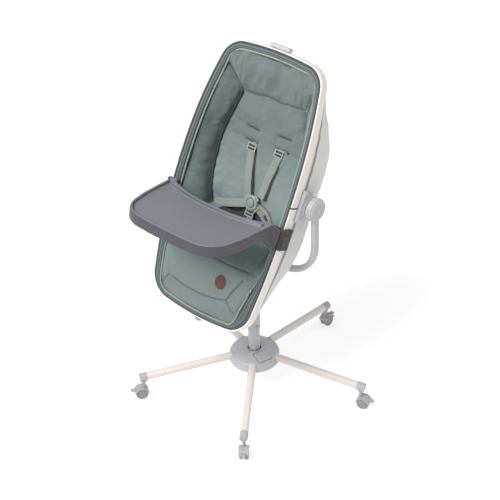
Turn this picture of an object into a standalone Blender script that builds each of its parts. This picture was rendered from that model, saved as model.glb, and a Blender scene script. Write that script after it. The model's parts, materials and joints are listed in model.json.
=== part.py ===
"""Baby high chair: a bassinet-shaped seat on a U yoke, a telescopic column and a five-leg castor base.

Metres, +Z up. The child faces -Y, and the child's left is +X. The origin is on the floor, under the
middle of the whole chair. Run with blender --background --python part.py, or from the text editor.
"""

import math

import bmesh
import bpy
from mathutils import Matrix, Vector
from mathutils.geometry import interpolate_bezier

NAME = "baby_high_chair"
GAP = 0.0003            # play between pieces that touch

# Column
POLE_Y = -0.0171        # the column stands here, so that the chair's box is centred on the origin
TUBE_ACROSS = 0.034     # octagonal lower tube, across its flats
TUBE_WALL = 0.0020
TUBE_TOP = 0.424        # below the yoke when the sleeve is at its lowest
SLEEVE_R = 0.0205
SLEEVE_BORE_R = 0.0188
SLEEVE_BOTTOM = 0.210
CONTROLS_ANGLE = -18    # the pedal and the height button point this way, in degrees from +X
BUTTON_R = 0.0050
BUTTON_Z = 0.226

# Base
LEG_ANGLES = (-54, 18, 90, 162, 234)
LEG_R = 0.0125
LEG_START = 0.062       # distances from the column's axis
LEG_END = 0.350
LEG_HEIGHT_AT_HUB = 0.1128
LEG_HEIGHT_AT_TIP = 0.082
HUB_R = 0.080
HUB_BOTTOM = 0.0895
PLATE_TOP = 0.0982
PEDAL_WIDTH = 0.045
PEDAL_START = 0.0285
PEDAL_END = 0.0690
STEM_AT = 0.362         # each castor's upright stem
STEM_R = 0.0055
WHEEL_R = 0.0195
WHEEL_TRAIL = 0.009
WHEEL_WIDTH = 0.011
WEB_WIDTH = 0.0070
HOOD_TOP = 0.043

# Seat frame: w runs across to the child's left, s up along the rim and h in behind the rim
SEAT_TILT = math.radians(64.447)
SEAT_Z = 0.500
SEAT_Y = -0.2189
RIM_BOW = 0.0959        # the rim bows towards the child in the middle of its length
BOW_START = 0.05
RIM_W = 0.2145          # widest half width of the rim
RIM_WIDEST = 0.31
HEAD_DROP = 0.0325      # how much narrower the head is, on each side
FOOT_DROP = 0.0285
HEAD_END = 0.716
FOOT_END = -0.0945
HEAD_CORNER = (0.1132, 0.6397, 0.070)    # w, s and radius
FOOT_CORNER = (0.1110, -0.0075, 0.080)
HEAD_FLARE = 12.6       # degrees that the sides lean in where the corners begin
FOOT_FLARE = 9.0
RIM_JOINT = 0.322       # the rim's upper and lower halves meet here
RIM_DEPTH = 0.029
SIDE_STATIONS = (0.03, 0.075, 0.112, 0.16, 0.205, 0.26, RIM_JOINT, 0.39, 0.46, 0.52, 0.575, 0.62)
SPINE = (0.10, 0.55)    # the tub's rings close in on this stretch of the middle line

# Seat hollow: depth behind the rim along the middle line, as (s, h)
FOOT_FLOOR = 0.018
HOLLOW = ((FOOT_END, FOOT_FLOOR), (0.112, FOOT_FLOOR), (0.205, 0.165), (0.575, 0.072), (0.690, 0.006),
          (HEAD_END, 0.001))
TUB_DEPTH = 0.192
TUB_TOP = RIM_DEPTH + 0.0007
TUB_RISE = 0.28         # the tub's bottom curves up over this length at each end
LINER_THICK = 0.012

# Recline pivots
PIVOT_S = 0.329
PIVOT_H = 0.0782
PIVOT_Z = 0.758
PIVOT_R = 0.0350
AXLE_R = 0.0120
BRACKET_X = (0.2143, 0.2335)
YOKE_HEAD_X = (0.2348, 0.2552)
CAP_X = (0.2555, 0.2590)

# Yoke
ARM_X = 0.2452
ARM_THICK = 0.0190
ARM_DEEP = 0.0250
YOKE_CORNER_R = 0.119
YOKE_BOTTOM = 0.4990

# Tray: q runs forwards and v up, square to its top
TRAY_Y = -0.200
TRAY_Z = 0.761
TRAY_RISE = math.radians(5.1)
TRAY_W = 0.195
TRAY_ARM_END = -0.0785
TRAY_WALL = 0.036
ARM_FLARE = 0.024       # how far the arms spread out to meet the clamps
CLAMP_S = (0.197, 0.260)
CLAMP_W = (0.182, 0.2290)
CLAMP_H = (-0.0100, 0.0310)

# Harness
BUCKLE_S = 0.258
BUCKLE_R = 0.0255
STRAP_THICK = 0.0016

WHITE_PLASTIC = ((0.62, 0.62, 0.65), 0.42, 0.0)
CREAM_PAINT = ((0.82, 0.74, 0.68), 0.38, 0.0)
CHARCOAL = ((0.085, 0.080, 0.100), 0.50, 0.0)
TRAY_GREY = ((0.23, 0.23, 0.27), 0.45, 0.0)
DARK_RUBBER = ((0.10, 0.10, 0.12), 0.65, 0.0)
SAGE = ((0.22, 0.28, 0.27), 0.90, 0.0)
PALE_SAGE = ((0.58, 0.60, 0.56), 0.90, 0.0)
WEBBING = ((0.36, 0.39, 0.34), 0.85, 0.0)
BUCKLE_GREEN = ((0.21, 0.30, 0.24), 0.35, 0.0)
LEATHER = ((0.20, 0.07, 0.05), 0.60, 0.0)
BOARD = ((0.30, 0.30, 0.30), 0.70, 0.0)
STEEL = ((0.45, 0.46, 0.48), 0.35, 0.9)


# ---------------------------------------------------------------- scene and materials

def clear_scene():
    for old in list(bpy.data.objects):
        bpy.data.objects.remove(old)


def new_collection(name, hidden=False):
    found = bpy.data.collections.new(name)
    bpy.context.scene.collection.children.link(found)
    found.hide_render = hidden
    return found


def finish(obj, look):
    """Puts an object among the chair's parts, with its own material."""
    colour, roughness, metallic = look
    material = bpy.data.materials.new(obj.name)
    material.use_nodes = True
    shader = material.node_tree.nodes["Principled BSDF"]
    shader.inputs["Base Color"].default_value = (*colour, 1.0)
    shader.inputs["Roughness"].default_value = roughness
    shader.inputs["Metallic"].default_value = metallic
    obj.data.materials.clear()
    obj.data.materials.append(material)
    PARTS.objects.link(obj)
    return obj


def as_cutter(obj):
    obj.hide_render = True
    obj.display_type = "WIRE"
    CUTTERS.objects.link(obj)
    return obj


def new_mesh(name, bm, smooth_angle=35):
    """An unlinked mesh object made from a bmesh, with its faces turned outwards."""
    bm.normal_update()
    bmesh.ops.recalc_face_normals(bm, faces=bm.faces)
    data = bpy.data.meshes.new(name)
    bm.to_mesh(data)
    bm.free()
    data.shade_smooth()
    data.set_sharp_from_angle(angle=math.radians(smooth_angle))
    return bpy.data.objects.new(name, data)


def combine(obj, operation, others):
    """Cuts others from obj, or joins them to it. The others become helpers."""
    for other in others:
        as_cutter(other)
        change = obj.modifiers.new(operation.lower() + "_" + other.name, "BOOLEAN")
        change.operation = operation
        change.object = other
    return obj


def soften(obj, width, segments=2):
    bevel = obj.modifiers.new("soften", "BEVEL")
    bevel.width = width
    bevel.segments = segments
    bevel.limit_method = "ANGLE"
    bevel.angle_limit = math.radians(40)
    return obj


def reshape(obj, place):
    """Moves every point of a mesh by a function of its place, and turns its faces outwards again."""
    bm = bmesh.new()
    bm.from_mesh(obj.data)
    for vertex in bm.verts:
        vertex.co = place(*vertex.co)
    bm.normal_update()
    bmesh.ops.recalc_face_normals(bm, faces=bm.faces)
    bm.to_mesh(obj.data)
    bm.free()
    return obj


# ---------------------------------------------------------------- shapes

def block(name, low, high, place=None):
    """A box from its lowest to its highest corner."""
    bm = bmesh.new()
    bmesh.ops.create_cube(bm, size=1.0)
    size = Vector(high) - Vector(low)
    middle = (Vector(high) + Vector(low)) / 2
    bmesh.ops.transform(bm, matrix=Matrix.Translation(middle) @ Matrix.Diagonal((*size, 1)), verts=bm.verts)
    obj = new_mesh(name, bm)
    return reshape(obj, place) if place else obj


def rod(name, radius, start, end, sides=24):
    """A cylinder from one point to another."""
    start = Vector(start)
    along = Vector(end) - start
    turn = along.to_track_quat("Z", "Y").to_matrix().to_4x4()
    bm = bmesh.new()
    bmesh.ops.create_cone(bm, cap_ends=True, segments=sides, radius1=radius,
                          radius2=radius, depth=along.length,
                          matrix=Matrix.Translation(start + along / 2) @ turn)
    return new_mesh(name, bm)


def loft(name, loops, wrap=False, caps="FACE", smooth_angle=35):
    """Skins closed loops of equally many points. wrap joins the last loop to the first. STRIP caps
    a loop that is symmetric about X = 0 with faces straight across it."""
    bm = bmesh.new()
    rings = [[bm.verts.new(point) for point in loop] for loop in loops]
    count = len(loops[0])
    pairs = list(zip(rings, rings[1:] + rings[:1])) if wrap else list(zip(rings, rings[1:]))
    for lower, upper in pairs:
        for k in range(count):
            after = (k + 1) % count
            bm.faces.new((lower[k], lower[after], upper[after], upper[k]))
    for ring in () if wrap else (rings[0], rings[-1]):
        if caps == "FACE":
            bm.faces.new(ring)
            continue
        for k in range(count // 2 - 1):
            bm.faces.new((ring[k], ring[k + 1], ring[count - 2 - k], ring[count - 1 - k]))
    return new_mesh(name, bm, smooth_angle)


def turned(name, profile, axis_at, steps=32):
    """A profile of (radius, z) pairs, running down its outer side, turned about an upright axis."""
    bm = bmesh.new()
    points = [bm.verts.new((radius, 0, z)) for radius, z in profile]
    for first, second in zip(points, points[1:]):
        bm.edges.new((first, second))
    if profile[0][0] > 0:
        bm.edges.new((points[-1], points[0]))
    data = bpy.data.meshes.new(name)
    bm.to_mesh(data)
    bm.free()
    obj = bpy.data.objects.new(name, data)
    obj.location = axis_at
    screw = obj.modifiers.new("turn", "SCREW")
    screw.steps = steps
    screw.render_steps = steps
    screw.use_merge_vertices = True
    screw.merge_threshold = 0.0001
    return obj


def ribbon(name, points, width, thick, place, look):
    """A flat strap along points given in a frame whose third axis is its thickness."""
    loops = []
    for k, point in enumerate(points):
        here = Vector(point)
        ahead = Vector(points[min(k + 1, len(points) - 1)]) - Vector(points[max(k - 1, 0)])
        across = Vector((ahead.y, -ahead.x, 0)).normalized() * width / 2
        lift = Vector((0, 0, thick / 2))
        corners = (here - across - lift, here + across - lift, here + across + lift, here - across + lift)
        loops.append([place(*corner) for corner in corners])
    return finish(loft(name, loops), look)


def around(angle, along, aside, z):
    """A point at a distance along, and a distance aside of, a line out from the column."""
    turn = math.radians(angle)
    return Vector((along * math.cos(turn) - aside * math.sin(turn),
                   POLE_Y + along * math.sin(turn) + aside * math.cos(turn), z))


def in_direction(angle):
    return lambda along, aside, z: around(angle, along, aside, z)


def leg_height(distance):
    share = (distance - LEG_START) / (LEG_END - LEG_START)
    return LEG_HEIGHT_AT_HUB + share * (LEG_HEIGHT_AT_TIP - LEG_HEIGHT_AT_HUB)


def seat_point(w, s, h):
    """A point of the seat's bowed frame, in the chair's frame."""
    bowed = -RIM_BOW * (s - BOW_START) ** 2 - h
    lean = math.sin(SEAT_TILT)
    rise = math.cos(SEAT_TILT)
    return Vector((w, POLE_Y + SEAT_Y + s * rise - bowed * lean, SEAT_Z + s * lean + bowed * rise))


def tray_point(x, q, v):
    lean = math.sin(TRAY_RISE)
    level = math.cos(TRAY_RISE)
    return Vector((x, POLE_Y + TRAY_Y - q * level + v * lean, TRAY_Z + q * lean + v * level))


def mirrored(side):
    return "left" if side > 0 else "right"


# ---------------------------------------------------------------- base

def build_hub():
    plate = turned("base_plate", ((0.0, PLATE_TOP), (HUB_R - 0.0036, PLATE_TOP),
                                  (HUB_R - 0.0036, HUB_BOTTOM + 0.0005), (0.0, HUB_BOTTOM + 0.0005)),
                   (0, POLE_Y, 0), 28)
    finish(plate, WHITE_PLASTIC)
    outside = [(0.0215, 0.1305), (0.050, 0.1272), (0.070, 0.1220), (HUB_R - 0.002, 0.1165), (HUB_R, 0.1125),
               (HUB_R, HUB_BOTTOM)]
    inside = [(HUB_R - 0.003, HUB_BOTTOM), (HUB_R - 0.003, 0.1120), (0.069, 0.1187), (0.050, 0.1240),
              (0.0215, 0.1275)]
    cover = turned("hub_cover", outside + inside, (0, POLE_Y, 0), 28)
    holes = [rod(f"leg_hole_{k}", LEG_R + GAP, around(angle, LEG_START, 0, leg_height(LEG_START)),
                 around(angle, 0.1, 0, leg_height(0.1)), 20) for k, angle in enumerate(LEG_ANGLES, 1)]
    half = PEDAL_WIDTH / 2 + 0.0010
    notch = block("pedal_notch", (PEDAL_START - 0.002, -half, PLATE_TOP + GAP),
                  (PEDAL_END + 0.002, half, 0.15), in_direction(CONTROLS_ANGLE))
    finish(combine(cover, "DIFFERENCE", holes + [notch]), WHITE_PLASTIC)
    bearing = turned("sway_bearing", ((0.0190, 0.1050), (0.0250, 0.1050), (0.0250, PLATE_TOP + GAP),
                                      (0.0190, PLATE_TOP + GAP)), (0, POLE_Y, 0), 24)
    finish(bearing, STEEL)


def build_pedal():
    half = PEDAL_WIDTH / 2
    pedal = block("foot_pedal", (PEDAL_START, -half, 0.1045), (PEDAL_END, half, 0.1345))
    for vertex in pedal.data.vertices:
        if vertex.co.x > PEDAL_START and vertex.co.z > 0.12:
            vertex.co.z -= 0.004
    reshape(pedal, in_direction(CONTROLS_ANGLE))
    finish(soften(pedal, 0.003, 3), WHITE_PLASTIC)


def build_leg(number, angle):
    start = around(angle, LEG_START, 0, leg_height(LEG_START))
    end = around(angle, LEG_END, 0, leg_height(LEG_END))
    curve = bpy.data.curves.new(f"leg_{number}", "CURVE")
    curve.dimensions = "3D"
    curve.bevel_depth = LEG_R
    curve.bevel_resolution = 4
    curve.use_fill_caps = True
    line = curve.splines.new("POLY")
    line.points.add(1)
    line.points[0].co = (*start, 1)
    line.points[1].co = (*end, 1)
    finish(bpy.data.objects.new(f"leg_{number}", curve), CREAM_PAINT)
    cap_start = LEG_END + GAP
    cap_end = STEM_AT + 0.0125
    cap = rod(f"leg_cap_{number}", LEG_R + 0.0008, around(angle, cap_start, 0, leg_height(cap_start)),
              around(angle, cap_end, 0, leg_height(cap_end)), 20)
    socket = rod(f"socket_{number}", 0.0100, around(angle, STEM_AT, 0, 0.0640),
                 around(angle, STEM_AT, 0, leg_height(STEM_AT)), 20)
    bore = rod(f"stem_bore_{number}", STEM_R + GAP, around(angle, STEM_AT, 0, 0.05),
               around(angle, STEM_AT, 0, 0.0792), 16)
    combine(cap, "UNION", [socket])
    finish(combine(cap, "DIFFERENCE", [bore]), WHITE_PLASTIC)


def hood_shape(name, place, middle):
    """The half round cover over a castor's wheels."""
    outer = HOOD_TOP - WHEEL_R
    inner = outer - 0.0032
    angles = [math.radians(18 + 144 * k / 10) for k in range(11)]
    outline = [(outer * math.cos(a), outer * math.sin(a)) for a in angles]
    outline += [(inner * math.cos(a), inner * math.sin(a)) for a in reversed(angles)]
    half = WHEEL_WIDTH + WEB_WIDTH / 2 + 0.0012
    loops = [[place(middle + x, side, WHEEL_R + z) for x, z in outline] for side in (-half, half)]
    return loft(name, loops)


def build_castor(number, angle):
    place = in_direction(angle)
    middle = STEM_AT + WHEEL_TRAIL
    fork = hood_shape(f"caster_fork_{number}", place, middle)
    half = WEB_WIDTH / 2 - 0.0006
    web = block(f"web_{number}", (middle - 0.0150, -half, 0.010), (middle + 0.0120, half, HOOD_TOP - 0.0015), place)
    stem = rod(f"stem_{number}", STEM_R, around(angle, STEM_AT, 0, HOOD_TOP - 0.0048),
               around(angle, STEM_AT, 0, 0.0785), 16)
    lug = block(f"lug_{number}", (middle + 0.0190, -0.0070, 0.0290), (middle + 0.0238, 0.0070, 0.0350), place)
    bore = rod(f"axle_bore_{number}", 0.0033, place(middle, -0.02, WHEEL_R), place(middle, 0.02, WHEEL_R), 16)
    combine(fork, "UNION", [web, stem, lug])
    finish(combine(fork, "DIFFERENCE", [bore]), WHITE_PLASTIC)

    reach = WEB_WIDTH / 2 + WHEEL_WIDTH
    inner = WEB_WIDTH / 2
    profile = ((0.0, reach), (0.0120, reach), (0.0130, reach - 0.001), (WHEEL_R - 0.0015, reach - 0.001),
               (WHEEL_R, reach - 0.0028), (WHEEL_R, inner + 0.0012), (WHEEL_R - 0.0012, inner), (0.0030, inner),
               (0.0030, -inner), (WHEEL_R - 0.0012, -inner), (WHEEL_R, -inner - 0.0012),
               (WHEEL_R, 0.0028 - reach), (WHEEL_R - 0.0015, 0.001 - reach), (0.0130, 0.001 - reach),
               (0.0120, -reach), (0.0, -reach))
    wheels = turned(f"caster_wheels_{number}", profile, around(angle, middle, 0, WHEEL_R), 20)
    wheels.rotation_euler = (math.radians(90), 0, math.radians(angle))
    finish(wheels, DARK_RUBBER)

    lever = block(f"brake_lever_{number}", (middle + 0.0246, -0.0070, 0.0300), (middle + 0.0340, 0.0070, 0.0342),
                  place)
    finish(soften(lever, 0.0012), WHITE_PLASTIC)


# ---------------------------------------------------------------- column and yoke

def octagon(radius, z):
    first = CONTROLS_ANGLE + 22.5
    return [around(first + 45 * k, radius, 0, z) for k in range(8)]


def build_column():
    outer = TUBE_ACROSS / 2 / math.cos(math.radians(22.5))
    inner = outer - TUBE_WALL
    bottom = PLATE_TOP + GAP
    loops = [octagon(outer, bottom), octagon(outer, TUBE_TOP), octagon(inner, TUBE_TOP), octagon(inner, bottom)]
    finish(loft("column_tube", loops, wrap=True), WHITE_PLASTIC)
    sleeve = turned("column_sleeve", ((SLEEVE_BORE_R, YOKE_BOTTOM - GAP), (SLEEVE_R, YOKE_BOTTOM - GAP),
                                      (SLEEVE_R, SLEEVE_BOTTOM + 0.001), (SLEEVE_R - 0.0008, SLEEVE_BOTTOM),
                                      (SLEEVE_BORE_R, SLEEVE_BOTTOM)), (0, POLE_Y, 0), 28)
    hole = rod("button_hole", BUTTON_R + GAP, around(CONTROLS_ANGLE, 0.012, 0, BUTTON_Z),
               around(CONTROLS_ANGLE, 0.03, 0, BUTTON_Z), 20)
    finish(combine(sleeve, "DIFFERENCE", [hole]), WHITE_PLASTIC)
    button = rod("height_button", BUTTON_R, around(CONTROLS_ANGLE, 0.0192, 0, BUTTON_Z),
                 around(CONTROLS_ANGLE, 0.0232, 0, BUTTON_Z), 20)
    finish(button, CHARCOAL)


def yoke_path():
    """Points of the yoke's middle line, from the top of the right arm to the top of the left arm."""
    level = YOKE_BOTTOM + ARM_THICK / 2
    centre = Vector((ARM_X - YOKE_CORNER_R, level + YOKE_CORNER_R))
    half = [Vector((ARM_X, PIVOT_Z - 0.022)), Vector((ARM_X, 0.680))]
    for k in range(9):
        turn = math.radians(-90 * k / 8)
        half.append(centre + YOKE_CORNER_R * Vector((math.cos(turn), math.sin(turn))))
    half.append(Vector((0.045, level)))
    return half + [Vector((-p.x, p.y)) for p in reversed(half)]


def build_yoke():
    corners = []
    for k in range(12):
        turn = math.radians(30 * k + 15)
        grow = max(abs(math.cos(turn)), abs(math.sin(turn))) ** 0.55
        corners.append((ARM_THICK / 2 * math.cos(turn) / grow, ARM_DEEP / 2 * math.sin(turn) / grow))
    path = yoke_path()
    loops = []
    for k, point in enumerate(path):
        ahead = (path[min(k + 1, len(path) - 1)] - path[max(k - 1, 0)]).normalized()
        side = Vector((-ahead.y, ahead.x))
        loops.append([Vector((point.x + side.x * a, POLE_Y + b, point.y + side.y * a)) for a, b in corners])
    yoke = loft("yoke", loops)
    near, far = YOKE_HEAD_X
    joined = []
    cuts = []
    for side in (1, -1):
        label = mirrored(side)
        joined.append(rod("yoke_head_" + label, PIVOT_R, (side * near, POLE_Y, PIVOT_Z),
                          (side * far, POLE_Y, PIVOT_Z), 28))
        cuts.append(rod("axle_bore_" + label, AXLE_R + GAP, (side * 0.2, POLE_Y, PIVOT_Z),
                        (side * 0.3, POLE_Y, PIVOT_Z), 24))
    joined.append(rod("yoke_collar", 0.0265, (0, POLE_Y, 0.462), (0, POLE_Y, 0.506), 24))
    cuts.append(rod("collar_bore", SLEEVE_R + GAP, (0, POLE_Y, 0.45), (0, POLE_Y, YOKE_BOTTOM), 28))
    combine(yoke, "UNION", joined)
    finish(combine(yoke, "DIFFERENCE", cuts), WHITE_PLASTIC)


def build_pivot(side):
    label = mirrored(side)
    near, far = BRACKET_X
    disc = rod("pivot_bracket_" + label, PIVOT_R, (side * near, POLE_Y, PIVOT_Z), (side * far, POLE_Y, PIVOT_Z), 28)
    low = RIM_DEPTH + 0.0004

    def tapered(w, s, h):
        return seat_point(w, PIVOT_S + (s - PIVOT_S) * (1 - 0.5 * (h - low) / (PIVOT_H - low)), h)

    riser = block("riser_" + label, (side * near, PIVOT_S - 0.050, low),
                  (side * (far - 0.004), PIVOT_S + 0.050, PIVOT_H), tapered)
    axle = rod("axle_" + label, AXLE_R, (side * (far - 0.005), POLE_Y, PIVOT_Z),
               (side * (YOKE_HEAD_X[1] - 0.0007), POLE_Y, PIVOT_Z), 24)
    finish(combine(disc, "UNION", [riser, axle]), CHARCOAL)
    cap = rod("pivot_cap_" + label, PIVOT_R - 0.004, (side * CAP_X[0], POLE_Y, PIVOT_Z), (side * CAP_X[1], POLE_Y, PIVOT_Z), 28)
    finish(soften(cap, 0.0012, 1), WHITE_PLASTIC)


# ---------------------------------------------------------------- rim

def side_width(s):
    """Half width of the rim along its sides."""
    if s > RIM_WIDEST:
        return RIM_W - HEAD_DROP * ((s - RIM_WIDEST) / 0.34) ** 2.4
    return RIM_W - FOOT_DROP * ((RIM_WIDEST - s) / 0.355) ** 2


def corner_arc(corner, first, last, steps):
    w, s, radius = corner
    turns = [math.radians(first + (last - first) * k / steps) for k in range(steps + 1)]
    return [(w + radius * math.cos(t), s + radius * math.sin(t)) for t in turns]


def rim_half():
    """The left half of the rim's outline, from the middle of the foot end to the middle of the head."""
    foot_level = FOOT_CORNER[1] - FOOT_CORNER[2]
    head_level = HEAD_CORNER[1] + HEAD_CORNER[2]
    points = []
    for share in (0.12, 0.6):
        points.append((FOOT_CORNER[0] * share, FOOT_END + (foot_level - FOOT_END) * share ** 2))
    points += corner_arc(FOOT_CORNER, -90, -FOOT_FLARE, 5)
    points += [(side_width(s), s) for s in SIDE_STATIONS]
    points += corner_arc(HEAD_CORNER, HEAD_FLARE, 90, 5)
    for share in (0.6, 0.12):
        points.append((HEAD_CORNER[0] * share, HEAD_END + (head_level - HEAD_END) * share ** 2))
    return points


def rim_outline():
    half = rim_half()
    return half + [(-w, s) for w, s in reversed(half)]


def outward(points, k, closed):
    """The outward direction at a point of an outline that runs anticlockwise."""
    count = len(points)
    before = points[(k - 1) % count] if closed else points[max(k - 1, 0)]
    after = points[(k + 1) % count] if closed else points[min(k + 1, count - 1)]
    return Vector((after[1] - before[1], before[0] - after[0])).normalized()


RIM_SECTION = ((0.0005, 0.0), (0.0046, 0.0), (0.0058, 0.0014), (0.0058, RIM_DEPTH - 0.003),
               (0.0030, RIM_DEPTH), (-0.0160, RIM_DEPTH), (-0.0160, 0.0074), (0.0005, 0.0074))


def build_rim_half(name, points):
    """Sweeps the rim's section along an open run of the outline."""
    loops = []
    for k, (w, s) in enumerate(points):
        out = outward(points, k, closed=False)
        if k in (0, len(points) - 1):
            out = Vector((math.copysign(1, w), 0))
        loops.append([seat_point(w + out.x * offset, s + out.y * offset, h) for offset, h in RIM_SECTION])
    return loft(name, loops)


def build_rim():
    half = rim_half()
    split = RIM_JOINT + GAP / 2
    upper = [(side_width(split), split)] + [p for p in half if p[1] > RIM_JOINT + GAP]
    rim = build_rim_half("rim_frame_upper", upper + [(-w, s) for w, s in reversed(upper)])
    holes = [block(f"prong_hole_{mirrored(side)}", (side * 0.026 - 0.0040, HEAD_END - 0.0100, 0.0120),
                   (side * 0.026 + 0.0040, HEAD_END + 0.010, 0.0190), seat_point) for side in (1, -1)]
    finish(combine(rim, "DIFFERENCE", holes), CREAM_PAINT)
    split = RIM_JOINT - GAP / 2
    lower = [p for p in half if p[1] < RIM_JOINT - GAP] + [(side_width(split), split)]
    finish(build_rim_half("rim_frame_lower", [(-w, s) for w, s in reversed(lower)] + lower), CREAM_PAINT)


def build_recline_handle():
    """The squeeze handle on the head end, on two prongs that slide in the rim."""
    near = HEAD_END + 0.0078
    grip = block("recline_handle", (-0.0360, near, 0.0040), (0.0360, near + 0.0105, 0.0200), seat_point)
    prongs = [block(f"prong_{mirrored(side)}", (side * 0.026 - 0.0035, HEAD_END - 0.0020, 0.0125),
                    (side * 0.026 + 0.0035, near + 0.004, 0.0185), seat_point) for side in (1, -1)]
    finish(combine(grip, "UNION", prongs), WHITE_PLASTIC)


# ---------------------------------------------------------------- tub, liner and soft pieces

def smooth_step(x):
    x = min(max(x, 0.0), 1.0)
    return x * x * (3 - 2 * x)


def tub_depth(s):
    deep = smooth_step((HEAD_END - s) / TUB_RISE) * smooth_step((s - FOOT_END) / TUB_RISE)
    return TUB_TOP + (TUB_DEPTH - TUB_TOP) * deep


def hollow_depth(s):
    for (start, depth), (end, next_depth) in zip(HOLLOW, HOLLOW[1:]):
        if s <= end:
            return depth + (next_depth - depth) * (s - start) / (end - start)
    return HOLLOW[-1][1]


def ring(inward, depth):
    """The rim's outline drawn in towards the tub's spine by a share of the way, at depths that a
    function of s gives."""
    points = []
    for w, s in rim_outline():
        spine = min(max(s, SPINE[0]), SPINE[1])
        moved = s + (spine - s) * inward
        points.append(seat_point(w * (1 - inward), moved, depth(moved)))
    return points


def build_tub():
    def outside(share):
        return lambda s: TUB_TOP + share * (tub_depth(s) - TUB_TOP)

    def inside(share):
        return lambda s: TUB_TOP + max(0.0, share * (tub_depth(s) - TUB_TOP) - 0.003)

    inner = ((0.85, 0.995), (0.47, 0.995), (0.32, 0.95), (0.22, 0.89), (0.11, 0.72), (0.04, 0.42), (0.022, 0.0))
    outer = ((0.006, 0.0), (0.02, 0.45), (0.09, 0.74), (0.20, 0.90), (0.30, 0.96), (0.45, 1.0), (0.85, 1.0))
    loops = [ring(inward, inside(share)) for inward, share in inner]
    loops += [ring(inward, outside(share)) for inward, share in outer]
    finish(loft("seat_tub", loops, caps="STRIP"), PALE_SAGE)


def build_liner():
    def surface(share, extra):
        return lambda s: share * hollow_depth(s) + extra

    def level(h):
        return lambda s: h

    loops = [ring(0.85, surface(1, LINER_THICK)), ring(0.60, surface(1, LINER_THICK)),
             ring(0.30, surface(1, LINER_THICK)), ring(0.19, surface(0.5, 0.018)), ring(0.104, level(0.0285)),
             ring(0.101, level(0.0064)), ring(0.003, level(0.0064)), ring(0.003, level(-0.0010)),
             ring(0.020, level(-0.0025)), ring(0.150, level(-0.0010)), ring(0.165, level(0.0030)),
             ring(0.27, surface(0.5, 0.0015)), ring(0.38, surface(1, 0)), ring(0.60, surface(1, 0)),
             ring(0.85, surface(1, 0))]
    finish(loft("seat_liner", loops, caps="STRIP"), SAGE)


def build_foot_panel():
    """The padded panel under the child's legs, with its plain leather patch."""
    levels = ((0.1090, -0.0120, FOOT_FLOOR - 0.0020), (0.1280, -0.0310, FOOT_FLOOR / 2), (0.1500, -0.0540, 0.0010),
              (0.1450, -0.0500, -0.0015))
    loops = []
    for width, low, h in levels:
        half = ((0.72 * width, low), (0.92 * width, low + 0.028), (width, 0.030), (1.02 * width, 0.100))
        outline = list(half) + [(-w, s) for w, s in reversed(half)]
        loops.append([seat_point(w, s, h) for w, s in outline])
    finish(loft("foot_panel", loops), SAGE)
    patch = [(0.055 + 0.0195 * math.cos(k * math.pi / 12), 0.033 + 0.0215 * math.sin(k * math.pi / 12))
             for k in range(24)]
    loops = [[seat_point(w, s, h) for w, s in patch] for h in (-0.0016, -0.0030)]
    finish(loft("leather_patch", loops), LEATHER)


def build_back_board():
    low, high = 0.235, 0.560
    stations = [low + (high - low) * k / 4 for k in range(5)]
    near = LINER_THICK + 0.0015
    loops = []
    for s in stations:
        h = hollow_depth(s) + near
        loops.append([seat_point(w, s, depth) for w, depth in
                      ((-0.112, h), (0.112, h), (0.112, h + 0.004), (-0.112, h + 0.004))])
    finish(loft("back_board", loops), BOARD)


# ---------------------------------------------------------------- harness

def resting(w, s, lift):
    """A point lifted off the padded surface of the seat hollow, in the chair's frame."""
    return seat_point(w, s, hollow_depth(s) - lift)


def build_shoulder_strap(side):
    label = mirrored(side)
    points = [(side * 0.057, 0.436, 0.0024), (side * 0.052, 0.420, 0.0034), (side * 0.046, 0.395, 0.0040),
              (side * 0.028, 0.330, 0.0050), (side * 0.0150, 0.2850, 0.0090)]
    ribbon("shoulder_strap_" + label, points, 0.025, STRAP_THICK, resting, WEBBING)
    adjuster = block("strap_adjuster_" + label, (side * 0.051 - 0.0155, 0.4065, 0.0058),
                     (side * 0.051 + 0.0155, 0.4295, 0.0118), resting)
    finish(soften(adjuster, 0.0015), BUCKLE_GREEN)


def build_lap_straps():
    """The right strap runs level to the buckle and the left one lies slack, lower down."""
    right = [(-0.126, 0.234, 0.0090), (-0.095, 0.240, 0.0060), (-0.060, 0.249, 0.0060),
             (-BUCKLE_R - 0.0020, BUCKLE_S, 0.0090)]
    left = [(0.110, 0.2170, 0.0110), (0.075, 0.2180, 0.0095), (0.043, 0.2240, 0.0090), (0.0212, 0.2405, 0.0090)]
    ribbon("lap_strap_right", right, 0.022, STRAP_THICK, resting, WEBBING)
    ribbon("lap_strap_left", left, 0.022, STRAP_THICK, resting, WEBBING)


def build_buckle():
    body = rod("buckle_body", BUCKLE_R, (0, BUCKLE_S, 0.0025), (0, BUCKLE_S, 0.0165), 32)
    well = rod("buckle_well", 0.0145, (0, BUCKLE_S, 0.0100), (0, BUCKLE_S, 0.03), 24)
    button = rod("buckle_button", 0.0140, (0, BUCKLE_S, 0.0135), (0, BUCKLE_S, 0.0190), 24)
    for obj in (body, well, button):
        reshape(obj, resting)
    finish(combine(body, "DIFFERENCE", [well]), BUCKLE_GREEN)
    finish(soften(button, 0.0010), BUCKLE_GREEN)
    points = [(0, BUCKLE_S - BUCKLE_R - 0.0008, 0.0090), (0, 0.2150, 0.0105), (0, 0.1960, 0.0200),
              (0, 0.1720, 0.0200)]
    ribbon("crotch_strap", points, 0.022, STRAP_THICK, resting, WEBBING)
    adjuster = block("crotch_adjuster", (-0.0150, 0.2140, 0.0122), (0.0150, 0.2310, 0.0180), resting)
    finish(soften(adjuster, 0.0012), BUCKLE_GREEN)


# ---------------------------------------------------------------- tray

def curve_through(corners, steps):
    """Points of a Bezier curve, from its four control points (x, q)."""
    return [(p.x, p.y) for p in interpolate_bezier(*(Vector((*corner, 0)) for corner in corners), steps)]


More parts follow.
